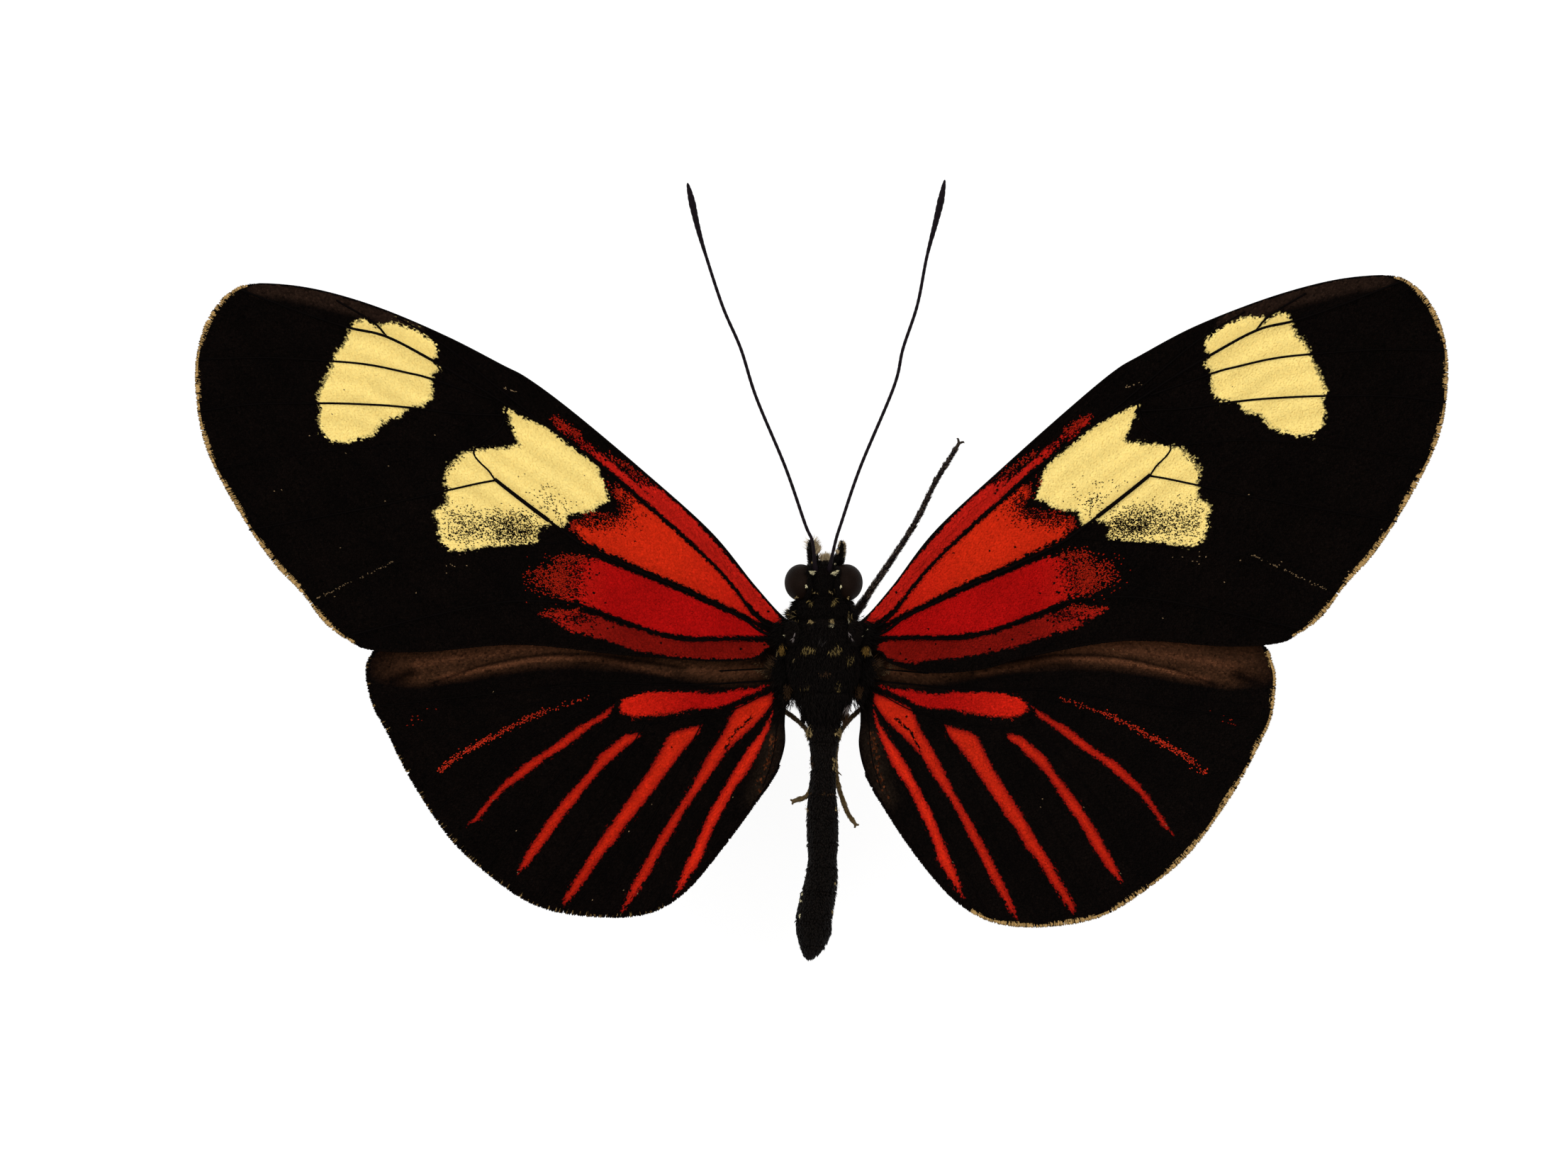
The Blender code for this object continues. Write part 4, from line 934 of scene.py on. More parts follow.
# Loose scales: the line that they lie along, how far off it, how many, and their colour
RAY_DUST = paint("B02814")
UNDER_STREAK = [(2.6, -1.2), (8, -0.3), (12.5, 0.0)]
UNDER_SPOTS = [(3.2, -2.1), (3.3, -3.2), (3.0, -4.2), (4.4, -2.6)]
HIND_DUST = [
    (THIN_RAY, 0.08, 170, RAY_DUST * 0.8),
    (THIN_RAY[2:6], 0.1, 130, RAY_DUST * 0.95),
    (THIN_RAY[4:7], 0.11, 90, RAY_DUST * 1.1),
    ([(22.2, -3.9), (23.9, -4.8)], 0.1, 10, RAY_DUST * 0.5),
    ([(6, -12), (22, -8)], 4.5, 14, PALE_DUST),
    ([(3.05, -2.0), (3.9, -1.35)], 0.13, 60, PALE_DUST * 0.35),
    ([(8, -4.0), (11, -4.35)], 0.08, 50, RED_DUST * 0.5)]
INNER_BROWN = paint("17100A")
INNER_DUST = paint("452210")
RAY_RED = paint("BA220D")
RAY_EDGE = paint("86100A")
BAR_RED = paint("A00D09")
BAR_BRIGHT = paint("C21C0D")


def near_line(spots, line, reach):
    """How far each spot is from a chain of points, up to reach."""
    best = np.full(len(spots), float(reach))
    chain = np.array(line, float)
    for start, end in zip(chain, chain[1:]):
        low, high = np.minimum(start, end) - reach, np.maximum(start, end) + reach
        close = np.flatnonzero(((spots > low) & (spots < high)).all(axis=1))
        run = end - start
        part = np.clip((spots[close] - start) @ run / max(run @ run, 1e-12), 0, 1)
        gap = np.linalg.norm(spots[close] - start - part[:, None] * run, axis=1)
        best[close] = np.minimum(best[close], gap)
    return best


def near_glow(spots, line, width, reach=1.6):
    """How near a spot is to a chain of points: 1 on it, fading out over width."""
    return np.exp(-(near_line(spots, line, reach) / width) ** 2)


def mixed(first, second, share):
    """Two colours in one, with a share of the second."""
    return first * (1 - share) + second * share


def looped(line):
    """A closed line with its first point again at its end."""
    return np.vstack((line, line[:1]))


def inside(spots, outline):
    """Which spots lie inside a closed outline."""
    odd = np.zeros(len(spots), bool)
    x, y = spots.T
    shape = np.array(outline, float)
    for (x0, y0), (x1, y1) in zip(shape, np.roll(shape, -1, axis=0)):
        if y0 != y1:
            odd ^= ((y0 > y) != (y1 > y)) & (x < (x1 - x0) * (y - y0) / (y1 - y0) + x0)
    return odd


def within(spots, outline, soft):
    """How surely a spot is inside an outline, from 0 to 1, with an edge that fades over soft."""
    shape = np.array(outline, float)
    gap = near_line(spots, looped(shape), 1.6)
    return np.clip(0.5 + np.where(inside(spots, shape), gap, -gap) / (2 * soft), 0, 1)


def on_line(spots, line, half_width):
    """How surely a spot is on a drawn line."""
    return np.clip(1.25 - near_line(spots, line, 1.0) / half_width, 0, 1)


def cloud(spots, x, y, size, cover):
    """A round dusting of scales, thickest in the middle."""
    return cover * np.exp(-((spots[:, 0] - x) ** 2 + (spots[:, 1] - y) ** 2) / (2 * size ** 2))


def relief(spots, veins):
    """How much the sheet sinks between its veins, and how high a vein stands on it."""
    nearest = np.full(len(spots), TROUGH_REACH)
    ridge = np.zeros(len(spots))
    for half_width, high, line in veins:
        gap = near_line(spots, line, TROUGH_REACH)
        nearest = np.minimum(nearest, gap)
        ridge = np.maximum(ridge, high * np.exp(-(gap / half_width) ** 2))
    return -TROUGH * nearest / TROUGH_REACH, ridge


def sheet_height(kind, spots, sag):
    """Height of the middle of a wing: it rises outwards and droops fore and aft."""
    return (WING_ROOT_HEIGHT - LAPS[kind] + WING_RISE * (spots[:, 0] - HINGES[kind][0])
            - WING_DROOP * (spots[:, 1] / WING_DROOP_SPAN) ** 2 + sag)


def set_on_body(kind, side, spots, height):
    """Spots of a flat wing in their place on the left or the right of the body."""
    turn = RIGHT_TURNS[kind] if side > 0 else 0.0
    swing = np.array([[math.cos(turn), math.sin(turn)], [-math.sin(turn), math.cos(turn)]])
    swung = (spots - HINGES[kind]) @ swing + HINGES[kind]
    return np.column_stack((side * swung[:, 0], swung[:, 1], height))


def pick_colours(layers, count, draw, points=1):
    """Colours from layers of how surely, which colour and how uneven, with one chance for a whole scale."""
    tint = np.zeros((count * points, 3))
    for cover, colour, uneven in layers:
        chance = np.repeat(draw.random(count), points)
        shade = np.repeat(np.clip(1 + uneven * draw.normal(0, 1, count), 0.25, 2.2), points)
        tint = np.where((chance < cover)[:, None], colour * shade[:, None], tint)
    return tint


def swelled(outline, swells):
    """An outline pushed a little out of its shape round some places."""
    shape = np.array(outline, float)
    for x, y, reach, across, along in swells:
        near = np.exp(-((shape[:, :1] - x) ** 2 + (shape[:, 1:] - y) ** 2) / (2 * reach ** 2))
        shape = shape + near * (across, along)
    return shape


def edge_of_wing(kind, outline):
    """A smooth outline drawn in by its fringe, the way out at each point, and how full its fringe is."""
    edge = smooth_path(outline, EDGE_STEP, closed=True)
    run = unit(np.roll(edge, -1, axis=0) - np.roll(edge, 1, axis=0))
    out = np.column_stack((run[:, 1], -run[:, 0]))
    area = np.sum(edge[:, 0] * np.roll(edge[:, 1], -1) - edge[:, 1] * np.roll(edge[:, 0], -1))
    out = out * np.sign(area)
    if kind == "fore":
        full = 1 - 0.85 * ramp(out[:, 1], 0.2, 0.2) * ramp(-edge[:, 0], -33.2, 0.6)
        full = np.where((out[:, 1] < 0.1) & (edge[:, 0] < 26.8), 0.3, full)
    else:
        full = np.where(out[:, 1] > 0.75, 0.3, np.where(out[:, 0] < -0.5, 0.6, 1.0))
    return edge - out * FRINGE_INSET * full[:, None], out, full


def staggered(low, high, grid):
    """Spots in staggered rows over a rectangle."""
    rows = np.arange(low[1], high[1], grid * math.sqrt(0.75))
    columns = np.arange(low[0], high[0], grid)
    return np.array([(x + grid / 2 * (row % 2), y) for row, y in enumerate(rows) for x in columns])


def wing_sheet(name, kind, side, rim, spots, triangles, veins, layers, draw):
    """The closed thin sheet under the scales, with its veins standing proud on both faces."""
    sag, ridge = relief(spots, veins)
    middle = sheet_height(kind, spots, sag)
    over = set_on_body(kind, side, spots, middle + SHEET_HALF + 0.5 * ridge)
    under = set_on_body(kind, side, spots, middle - SHEET_HALF - 0.5 * ridge)
    count = len(spots)
    turned = triangles if side > 0 else triangles[:, ::-1]
    wall = np.array([((a, b + count, b), (a, a + count, b + count)) for a, b in rim]).reshape(-1, 3)
    wall = wall if side > 0 else wall[:, ::-1]
    faces = np.concatenate((turned, turned[:, ::-1] + count, wall))
    tint = np.concatenate([pick_colours(face_layers, count, draw) for face_layers in layers])
    return joined_mesh(name, np.concatenate((over, under)), faces, tint, None)


def wing_scales(name, kind, side, face, spots, ahead, veins, proud, size, layers_for, tint, unwrap, draw):
    """Flat lapped scales over one face of a wing, each rooted in the sheet with its free end raised."""
    count = len(spots)
    heights, tips = (sheet_height(kind, places, sag) + face * (proud + ridge)
                     for places in (spots, spots + ahead * size[0])
                     for sag, ridge in (relief(places, veins),))
    long = size[0] * draw.uniform(0.82, 1.18, (count, 1))
    wide = size[1] * draw.uniform(0.85, 1.15, (count, 1))
    twist = draw.normal(0, 0.13, count)
    ahead = np.column_stack((ahead[:, 0] * np.cos(twist) - ahead[:, 1] * np.sin(twist),
                             ahead[:, 0] * np.sin(twist) + ahead[:, 1] * np.cos(twist)))
    aside = np.column_stack((-ahead[:, 1], ahead[:, 0]))
    rise = size[2] * draw.uniform(0.6, 1.4, count)
    roll = draw.normal(0, 0.05, count)
    flats, points, patch = [], [], []
    for forward, across in ((0.0, 0.0), (0.45, -0.5), (1.0, -0.3), (1.0, 0.3), (0.45, 0.5)):
        flats.append(spots + ahead * long * forward + aside * wide * across)
        height = heights + (tips - heights) * forward
        height = height + face * (SCALE_LOOSE + rise * forward + roll * across * wide[:, 0])
        points.append(set_on_body(kind, side, flats[-1], height))
        patch.append(unwrap + np.array((forward - 0.5, across)) * PATCH)
    flats, points, patch = (np.stack(part, axis=1).reshape(5 * count, -1)
                            for part in (flats, points, patch))
    fan = np.array([(0, 1, 2), (0, 2, 3), (0, 3, 4)])
    fan = fan if side * face > 0 else fan[:, ::-1]
    triangles = (fan[None] + 5 * np.arange(count)[:, None, None]).reshape(-1, 3)
    if tint is None:
        colours = pick_colours(layers_for(flats, side)[face < 0], count, draw, 5)
    else:
        colours = np.repeat(tint, 5, axis=0)
    return joined_mesh(name, points, triangles, colours, patch)


def filled(inner):
    """Points and triangles that fill a closed outline, and the edges of its rim in order."""
    low, high = inner.min(axis=0), inner.max(axis=0)
    fill = staggered(low, high, SHEET_GRID)
    fill = fill[inside(fill, inner) & (near_line(fill, looped(inner), 1.0) > SHEET_GRID * 0.6)]
    rim = [(index, (index + 1) % len(inner)) for index in range(len(inner))]
    given = [tuple(spot) for spot in np.vstack((inner, fill))]
    flat, _, faces, *_ = delaunay_2d_cdt(given, rim, [list(range(len(inner)))], 1, 1e-4)
    flat = np.array([tuple(spot) for spot in flat])
    triangles = np.array([face for face in faces if len(face) == 3])
    first, second, third = (flat[triangles[:, corner]] for corner in (0, 1, 2))
    crossing = np.cross(second - first, third - first)
    triangles[crossing < 0] = triangles[crossing < 0][:, ::-1]
    sides = {(tri[turn], tri[(turn + 1) % 3]) for tri in triangles.tolist() for turn in range(3)}
    border = [pair for pair in sides if (pair[1], pair[0]) not in sides]
    return flat, triangles, sorted(border)


def fringe_hairs(name, kind, side, inner, out, full, box, draw):
    """Short flat hairs side by side round a wing's edge: tan on the outer edge, black where wings lap."""
    rounds = lengths_of(looped(inner))
    count = int(rounds[-1] / FRINGE_STEP) * 2
    share = draw.random(count) * rounds[-1]
    root = at_lengths(share, rounds, looped(inner))
    way = unit(at_lengths(share, rounds, looped(out)))
    room = np.interp(share, rounds, np.append(full, full[0]))
    kept = (root[:, 0] > 2.6) & (room > 0.25)
    root, way, room = root[kept], way[kept], room[kept]
    count = len(root)
    layer = draw.choice((-1.0, 1.0), count)
    lean = unit(way + 0.3 * unit(root - FLOW_START[kind]) + draw.normal(0, 0.16, (count, 2)))
    root = root - way * FRINGE_DEEP
    sunk = 0.3 * TROUGH
    places = set_on_body(kind, side, root, sheet_height(kind, root, 0.0) - sunk + layer * 0.012)
    tips_at = set_on_body(kind, side, root + lean, sheet_height(kind, root + lean, 0.0) - sunk)
    tan_share, tan_depth = (0.14, 0.4) if (kind, side) == ("hind", -1) else (0.85, 1.0)
    dark = (room < 0.75) | (draw.random(count) > tan_share)
    tan = FRINGE_TAN * tan_depth * draw.uniform(0.55, 1.1, (count, 1))
    tint = np.where(dark[:, None], WING_BLACK * 1.3, tan)
    long = FRINGE_DEEP + (0.01 + FRINGE_INSET * room) * draw.uniform(0.8, 1.2, count)
    facing = np.tile((0.0, 0.0, 1.0), (count, 1)) * layer[:, None]
    unwrap = 0.02 + 0.96 * (root - box[0]) / (box[1] - box[0])
    return blades(name, places, facing, tips_at - places, long, FRINGE_WIDE, 0.012, tint, unwrap,
                  fullest=0.7, flat=0.1)


def scattered(dust, draw):
    """Spots and colours of loose scales strewn along lines."""
    spots, tint = [], []
    for line, off, count, colour in dust:
        chain = np.array(line, float)
        rounds = lengths_of(chain)
        spot = at_lengths(draw.random(count) * rounds[-1], rounds, chain)
        spots.append(spot + draw.normal(0, off, (count, 2)))
        tint.append(colour * draw.uniform(0.6, 1.3, (count, 1)))
    return np.concatenate(spots), np.concatenate(tint)


def make_wings(kind, outline, swells, veins, bare, layers_for, dust, finish, seed):
    """Both wings of one pair: sheet, bare veins, scales over and under, loose scales, and the fringe."""
    for name, side in SIDES:
        draw = np.random.default_rng(seed + side)
        inner, out, full = edge_of_wing(kind, swelled(outline, swells if side > 0 else ()))
        low, high = inner.min(axis=0), inner.max(axis=0)
        flat, triangles, border = filled(inner)
        sheet = wing_sheet(f"{kind}wing_sheet_{name}", kind, side, border, flat, triangles, veins,
                           layers_for(flat, side), draw)
        finish_piece(sheet, finish, kind + "wings", f"{kind}wing_{name}")
        rim = inner[full < 0.16] + out[full < 0.16] * (0.03 + 0.15 * FRINGE_INSET - RIM_RADIUS)
        lines = [(radius, smooth_path(line, 0.22), 1.0) for radius, line in bare]
        lines += [(MARGIN_RADIUS, looped(inner), 0.0)] + [(RIM_RADIUS, rim, 0.0)] * bool(len(rim))
        runs = []
        for radius, path, raised in lines:
            sag, ridge = relief(path, veins)
            height = sheet_height(kind, path, sag) + raised * (SHEET_HALF + ridge + VEIN_PROUD)
            taper = np.linspace(1.0, 0.85, len(path))
            runs.append(np.column_stack((set_on_body(kind, side, path, height), radius * taper)))
        finish_piece(drawn_limb(f"{kind}wing_veins_{name}", *runs, sides=8), vein_black, kind + "wings")
        spots = staggered(low, high, SCALE_GRID)
        spots = spots + draw.normal(0, SCALE_SHIFT, spots.shape)
        loose, loose_tint = scattered(dust, draw)
        if (kind, side) == ("hind", 1):
            loose[:, 1] += fuller(loose)
        laid, strewn_size = (SCALE_LONG, SCALE_WIDE, SCALE_RISE), (DUST_LONG, DUST_WIDE, DUST_RISE)
        for label, face, at, size, proud, own_tint in (
                ("upper", 1, spots, laid, SHEET_HALF, None), ("under", -1, spots, laid, SHEET_HALF, None),
                ("loose", 1, loose, strewn_size, SHEET_HALF + SCALE_RISE, loose_tint)):
            ahead = unit(at - FLOW_START[kind])
            if label == "loose":
                ahead = unit(ahead + draw.normal(0, 0.4, ahead.shape))
            aside = np.column_stack((-ahead[:, 1], ahead[:, 0])) * size[1] / 2
            seen = at + ahead * size[0] * SCALE_SEEN
            kept = inside(at, inner) & inside(seen + aside, inner) & inside(seen - aside, inner)
            at, ahead = at[kept], ahead[kept]
            coat = wing_scales(f"{kind}wing_{label}_scales_{name}", kind, side, face, at, ahead, veins,
                               proud, size, layers_for, None if own_tint is None else own_tint[kept],
                               0.02 + 0.96 * (at - low) / (high - low), draw)
            finish_piece(coat, finish, kind + "wings")
        fringe = fringe_hairs(f"{kind}wing_fringe_{name}", kind, side, inner, out, full, (low, high), draw)
        finish_piece(fringe, finish, kind + "wings")


def fuller(spots):
    """How much further forward the right hindwing's pattern lies."""
    return 0.034 * np.clip(spots[:, 0] - 2.5, 0, None) * ramp(spots[:, 1], -11.5, 4.5)


def hindwing_layers(spots, side):
    """Where the hindwing's colours lie, on its upper and under face. The right wing is a little fuller."""
    x, y = spots.T
    spots = np.column_stack((x, y - fuller(spots) * (side > 0)))
    x, y = spots.T
    dust = draw_cloud(spots)[:, None]
    band = within(spots, BROWN_FRONT, 0.3)[:, None] * np.clip((26.4 - x) / 2.4, 0.15, 1)[:, None]
    brown = WING_BROWN * (0.8 + 0.4 * dust) * np.clip((x - 2.2) / 4, 0.3, 1)[:, None]
    black = WING_BLACK * (0.8 + 0.5 * dust)
    black = black + INNER_BROWN * near_glow(spots, INNER_STREAK, 0.6)[:, None]
    # The real brown patch is lightened along streaks of painted satin sheen
    for half, gain, line in BROWN_SHEEN_STREAKS:
        brown = brown + (SHEEN_STREAK_BROWN - brown) * gain * near_glow(spots, line, half)[:, None]
    for half, gain, line in DARK_STREAKS:
        brown = brown * (1 - gain * near_glow(spots, line, half)[:, None])
    upper = [(1.0, mixed(black, brown, band), 0.24),
             (0.5 * ramp(y, -9.5, 3) * near_glow(spots, INNER_STREAK, 0.2), INNER_DUST, 0.45)]
    far = ramp(x, 7.5, 3.5)[:, None]
    upper.append((within(spots, CELL_BAR, 0.06) * 0.999, mixed(BAR_RED, BAR_BRIGHT, far), 0.1))
    lower_red = within(spots, CELL_BAR, 0.2) * 0.5
    for ray in RAYS:
        core = np.clip(2 * within(spots, ray, 0.28) - 1, 0, 1)[:, None]
        part = within(spots, ray, 0.05 + 0.1 * ramp(-y, 12, 4))
        glow = 1.25 if ray is RAYS[0] else 1.0
        upper.append((part * 0.999, mixed(RAY_EDGE, RAY_RED, core) * glow * (0.9 + 0.2 * dust), 0.1))
        lower_red = np.maximum(lower_red, within(spots, ray, 0.25) * 0.75)
    upper.append((0.8 * on_line(spots, SLIT, 0.11), WING_BLACK, 0.3))
    under = [(1.0, UNDER_DARK * (0.8 + 0.5 * dust), 0.25),
             (lower_red, paint("7A2A1C"), 0.2),
             (on_line(spots, UNDER_STREAK, 0.42), paint("E3C566"), 0.08)]
    for spot_x, spot_y in UNDER_SPOTS:
        under.append((cloud(spots, spot_x, spot_y, 0.22, 1.6), paint("A81A10"), 0.12))
    return upper, under


def draw_cloud(spots):
    """Slow changes of depth of colour over a wing, from a few crossing waves."""
    x, y = spots.T
    waves = np.sin(x * 0.9 + 1.3 * np.sin(y * 0.5)) + np.sin(y * 1.3 + 0.7 * x) + np.sin(x * 2.3 - y * 1.9)
    return 0.5 + waves / 6


wing_finish = tinted("scaled_wing", (0.5, 0.68), 0.012, 0.003, 0.03)
vein_black = mottled("vein_black", "030202", "0A0605", 0.3, 0.04, (0.5, 0.7), 0.002, 0.015)
hind_bare = [(0.05 if half_width > 0.09 else 0.032, line) for half_width, high, line in HINDWING_VEINS]

# The vein nearest the front is bare only at its root
hind_bare[0] = (0.05, HINDWING_VEINS[0][2][:2])
make_wings("hind", HINDWING_OUTLINE, HIND_SWELLS, HINDWING_VEINS, hind_bare, hindwing_layers, HIND_DUST,
           wing_finish, 301)

# Forewings: the same sheet and scales, longer and stiffer, on thick veins along the front, over the
# hindwings. They are black, with a lemon band cut by the veins towards the tip and a blood-red fan out of
# the root.
FOREWING_OUTLINE = [
    (1.0, 0.9), (2.2, 1.3), (4.0, 3.25), (6.5, 6.3), (10.5, 9.9), (14.5, 13.25), (17.0, 15.1),
    (18.5, 15.9), (21.5, 17.45), (25.0, 18.97), (28.0, 19.95), (30.5, 20.45), (32.9, 20.55),
    (34.0, 20.15), (34.9, 19.3), (35.7, 17.8), (36.1, 15.5), (35.8, 12.3), (34.95, 9.9), (33.25, 6.9),
    (31.6, 4.5), (30.0, 2.8), (28.6, 1.0), (27.2, 0.0), (26.0, -0.5), (23.0, -0.62), (17.5, -0.2),
    (12.0, -0.75), (9.0, -0.98), (6.0, -1.15), (3.8, -0.95), (3.0, -0.35), (1.0, -0.3)]
FORE_SWELLS = [(20.0, 16.5, 4.0, -0.1, 0.28), (7.6, -1.1, 2.8, 0.0, -0.85)]
FORE_SC = [(3.0, 1.4), (6, 4.9), (10, 9.0), (14, 12.4), (17.7, 15.5)]
FORE_R = [
    (2.4, 0.7), (3.3, 0.95), (4.2, 1.8), (5, 2.9), (6, 4.1), (7, 5.05), (8, 6.0), (9, 6.9), (10, 7.7),
    (11.7, 9.25), (14.5, 11.4), (16.5, 12.75), (18.2, 13.6), (20.3, 14.9), (22.4, 16.1), (25.1, 17.5),
    (27.2, 18.0), (30, 18.9), (33.5, 20.2)]
FORE_CU = [
    (2.4, 0.4), (3.0, 0.35), (3.75, 0.67), (4.5, 1.25), (5.5, 1.75), (6.5, 2.2), (7.5, 2.75), (8.5, 3.17),
    (9.5, 3.58), (10.5, 4.0), (11.5, 4.46), (12.5, 4.88), (13.5, 5.38), (14.3, 5.85), (15.8, 6.95),
    (16.7, 7.62), (17.5, 8.23), (18.3, 8.85), (18.9, 9.33)]
FORE_2A = [
    (2.4, 0.2), (4.5, 0.17), (7.5, 0.06), (8.5, 0.17), (9.5, 0.42), (11.5, 1.17), (13.5, 1.92),
    (14.5, 2.2), (18, 2.3), (22, 1.6), (27.5, 0.3)]
FORE_M1 = [(19, 13.9), (22.6, 15.1), (24, 15.45), (26, 15.87), (28, 16.08), (32, 16.3), (35.9, 16.2)]
FORE_M2 = [(18.4, 13.0), (21, 13.1), (24, 13.45), (26, 13.6), (28.9, 13.68), (33, 13.6), (35.9, 13.2)]
FORE_CELL_END = [(18.2, 13.5), (18.6, 12.2), (20.1, 10.95), (19.2, 9.75), (18.9, 9.3)]
FORE_M3 = [(20.1, 10.95), (24, 11.2), (29, 10.9), (34.9, 9.9)]
FORE_CU1 = [(18.9, 9.25), (20, 9.04), (21.5, 8.7), (26, 7.7), (33, 6.4)]
FORE_CU2 = [(14.3, 5.8), (16.6, 5.55), (20, 5.2), (25, 4.4), (29.6, 2.4)]
FORE_R1 = [(16, 12.4), (19, 14.8), (22, 17.15), (24.5, 18.6)]
FORE_FORK = [(25.1, 17.5), (25.9, 18.35), (28, 19.6)]
FOREWING_VEINS = [
    (0.13, 0.09, FORE_SC),
    (0.14, 0.11, FORE_R),
    (0.17, 0.12, FORE_CU),
    (0.15, 0.10, FORE_2A),
    (0.07, 0.05, FORE_M1),
    (0.07, 0.05, FORE_M2),
    (0.07, 0.05, FORE_CELL_END),
    (0.07, 0.05, FORE_M3),
    (0.08, 0.05, FORE_CU1),
    (0.07, 0.05, FORE_CU2),
    (0.08, 0.06, FORE_R1),
    (0.06, 0.045, FORE_FORK)]
FORE_BARE = [
    (0.07, FORE_R),
    (0.085, FORE_CU),
    (0.12, FORE_CU[14:]),
    (0.07, FORE_2A),
    (0.066, FORE_M1),
    (0.066, FORE_M2),
    (0.06, FORE_CELL_END),
    (0.035, FORE_M3),
    (0.06, FORE_CU1),
    (0.035, FORE_CU2),
    (0.06, FORE_R1),
    (0.065, FORE_FORK),
    (0.085, FORE_R[13:17])]
EMBER = RED_DUST * 0.7
FORE_DUST = [
    ([(16.5, 6.25), (18.6, 6.25)], 0.42, 760, WING_BLACK),
    ([(16.7, 7.05), (19.4, 6.95)], 0.36, 300, WING_BLACK),
    ([(18.6, 6.4), (21.5, 6.3)], 0.5, 520, WING_BLACK),
    ([(20.0, 7.2), (21.8, 7.2)], 0.35, 120, WING_BLACK),
    ([(15.0, 7.0), (16.1, 8.4)], 0.32, 90, WING_BLACK),
    ([(14.0, 8.0), (17.2, 8.8)], 0.4, 36, WING_BLACK),
    ([(20.9, 10.6), (21.6, 9.6)], 0.12, 40, WING_BLACK),
    ([(11.3, 8.6), (11.4, 7.6), (12.4, 6.9), (14.0, 6.7)], 0.26, 700, WING_BLACK),
    ([(10.4, 7.5), (12.0, 6.6)], 0.4, 110, WING_BLACK),
    ([(11.8, 8.8), (11.8, 8.2)], 0.16, 60, EMBER),
    ([(12.2, 7.25), (13.8, 7.1)], 0.13, 80, EMBER),
    ([(14.3, 6.9), (14.4, 6.3)], 0.1, 60, EMBER),
    ([(12.5, 9.2), (12.3, 8.8)], 0.14, 12, EMBER),
    ([(14.9, 2.9), (15.3, 3.6), (15.0, 4.3)], 0.42, 700, EMBER),
    ([(15.9, 3.2), (16.4, 4.0)], 0.42, 240, EMBER),
    ([(13.6, 4.75), (15.2, 4.75)], 0.14, 150, EMBER),
    ([(14.2, 2.8), (14.7, 3.6), (13.9, 4.4)], 0.38, 420, WING_BLACK),
    ([(14.0, 1.75), (16.2, 1.6)], 0.1, 110, EMBER),
    ([(13.0, 1.3), (15.0, 1.35)], 0.2, 170, WING_BLACK),
    ([(10.1, 9.2), (11.1, 9.9), (12.4, 10.7)], 0.1, 130, EMBER),
    ([(14.0, 11.8), (15.5, 12.75)], 0.14, 150, EMBER),
    ([(9.9, 8.95), (11.4, 9.85)], 0.12, 240, WING_BLACK),
    ([(13.2, 10.8), (14.8, 11.95)], 0.2, 240, WING_BLACK),
    ([(24.6, 4.6), (29.0, 2.5)], 0.03, 50, PALE_DUST * 0.7),
    ([(17.6, 14.35), (18.4, 14.55)], 0.05, 9, PALE_DUST),
    ([(14, 4), (33, 9)], 4.0, 18, PALE_DUST),
    ([(20.2, 4.6), (22.0, 4.2)], 0.25, 8, PALE_DUST)]

OUTER_BAND = [
    (25.58, 17.9), (25.9, 18.2), (26.25, 18.42), (26.67, 18.46), (27.0, 18.33), (27.17, 17.9),
    (27.42, 17.17), (28.0, 16.58), (28.15, 16.05), (28.5, 15.33), (28.83, 14.67), (29.08, 13.92),
    (28.85, 13.4), (29.0, 12.67), (28.83, 12.17), (28.67, 11.83), (28.17, 11.46), (27.42, 11.42),
    (26.25, 11.75), (25.83, 11.88), (25.42, 12.58), (25.0, 12.75), (24.4, 12.88), (24.2, 13.08),
    (24.0, 13.42), (23.0, 13.54), (22.58, 13.92), (22.5, 14.5), (22.6, 15.1), (22.1, 15.67),
    (22.45, 16.05), (22.2, 16.67), (22.17, 16.92), (22.58, 17.33), (23.4, 17.88), (24.0, 18.05),
    (24.5, 18.3), (25.5, 18.25)]
INNER_PATCH = [
    (18.2, 13.38), (17.5, 13.0), (17.0, 12.75), (16.0, 12.33), (15.0, 11.54), (14.17, 10.97),
    (13.5, 10.38), (13.0, 10.0), (12.86, 9.6), (12.62, 9.15), (12.52, 8.6), (12.38, 8.05), (12.92, 7.9),
    (13.3, 7.52), (13.8, 7.42), (14.5, 7.35), (14.78, 7.2), (14.75, 6.85), (14.95, 6.6), (15.3, 6.63),
    (15.6, 6.8), (15.87, 6.72), (16.3, 6.55), (16.48, 6.35), (16.5, 5.7), (17.5, 5.57), (19.0, 5.47),
    (20.0, 5.35), (21.0, 5.2), (21.55, 5.32), (21.93, 5.68), (21.95, 6.0), (22.15, 6.18), (22.08, 6.7),
    (22.27, 7.1), (22.28, 7.45), (21.95, 7.72), (21.58, 7.88), (21.63, 8.5), (21.5, 8.75), (21.67, 9.08),
    (21.75, 9.67), (21.42, 10.25), (21.0, 10.5), (20.75, 10.8), (20.1, 10.95), (19.58, 11.04),
    (18.33, 11.08), (17.46, 11.29), (17.63, 11.67), (17.83, 12.25), (18.0, 12.58), (18.0, 12.92),
    (18.33, 13.25)]
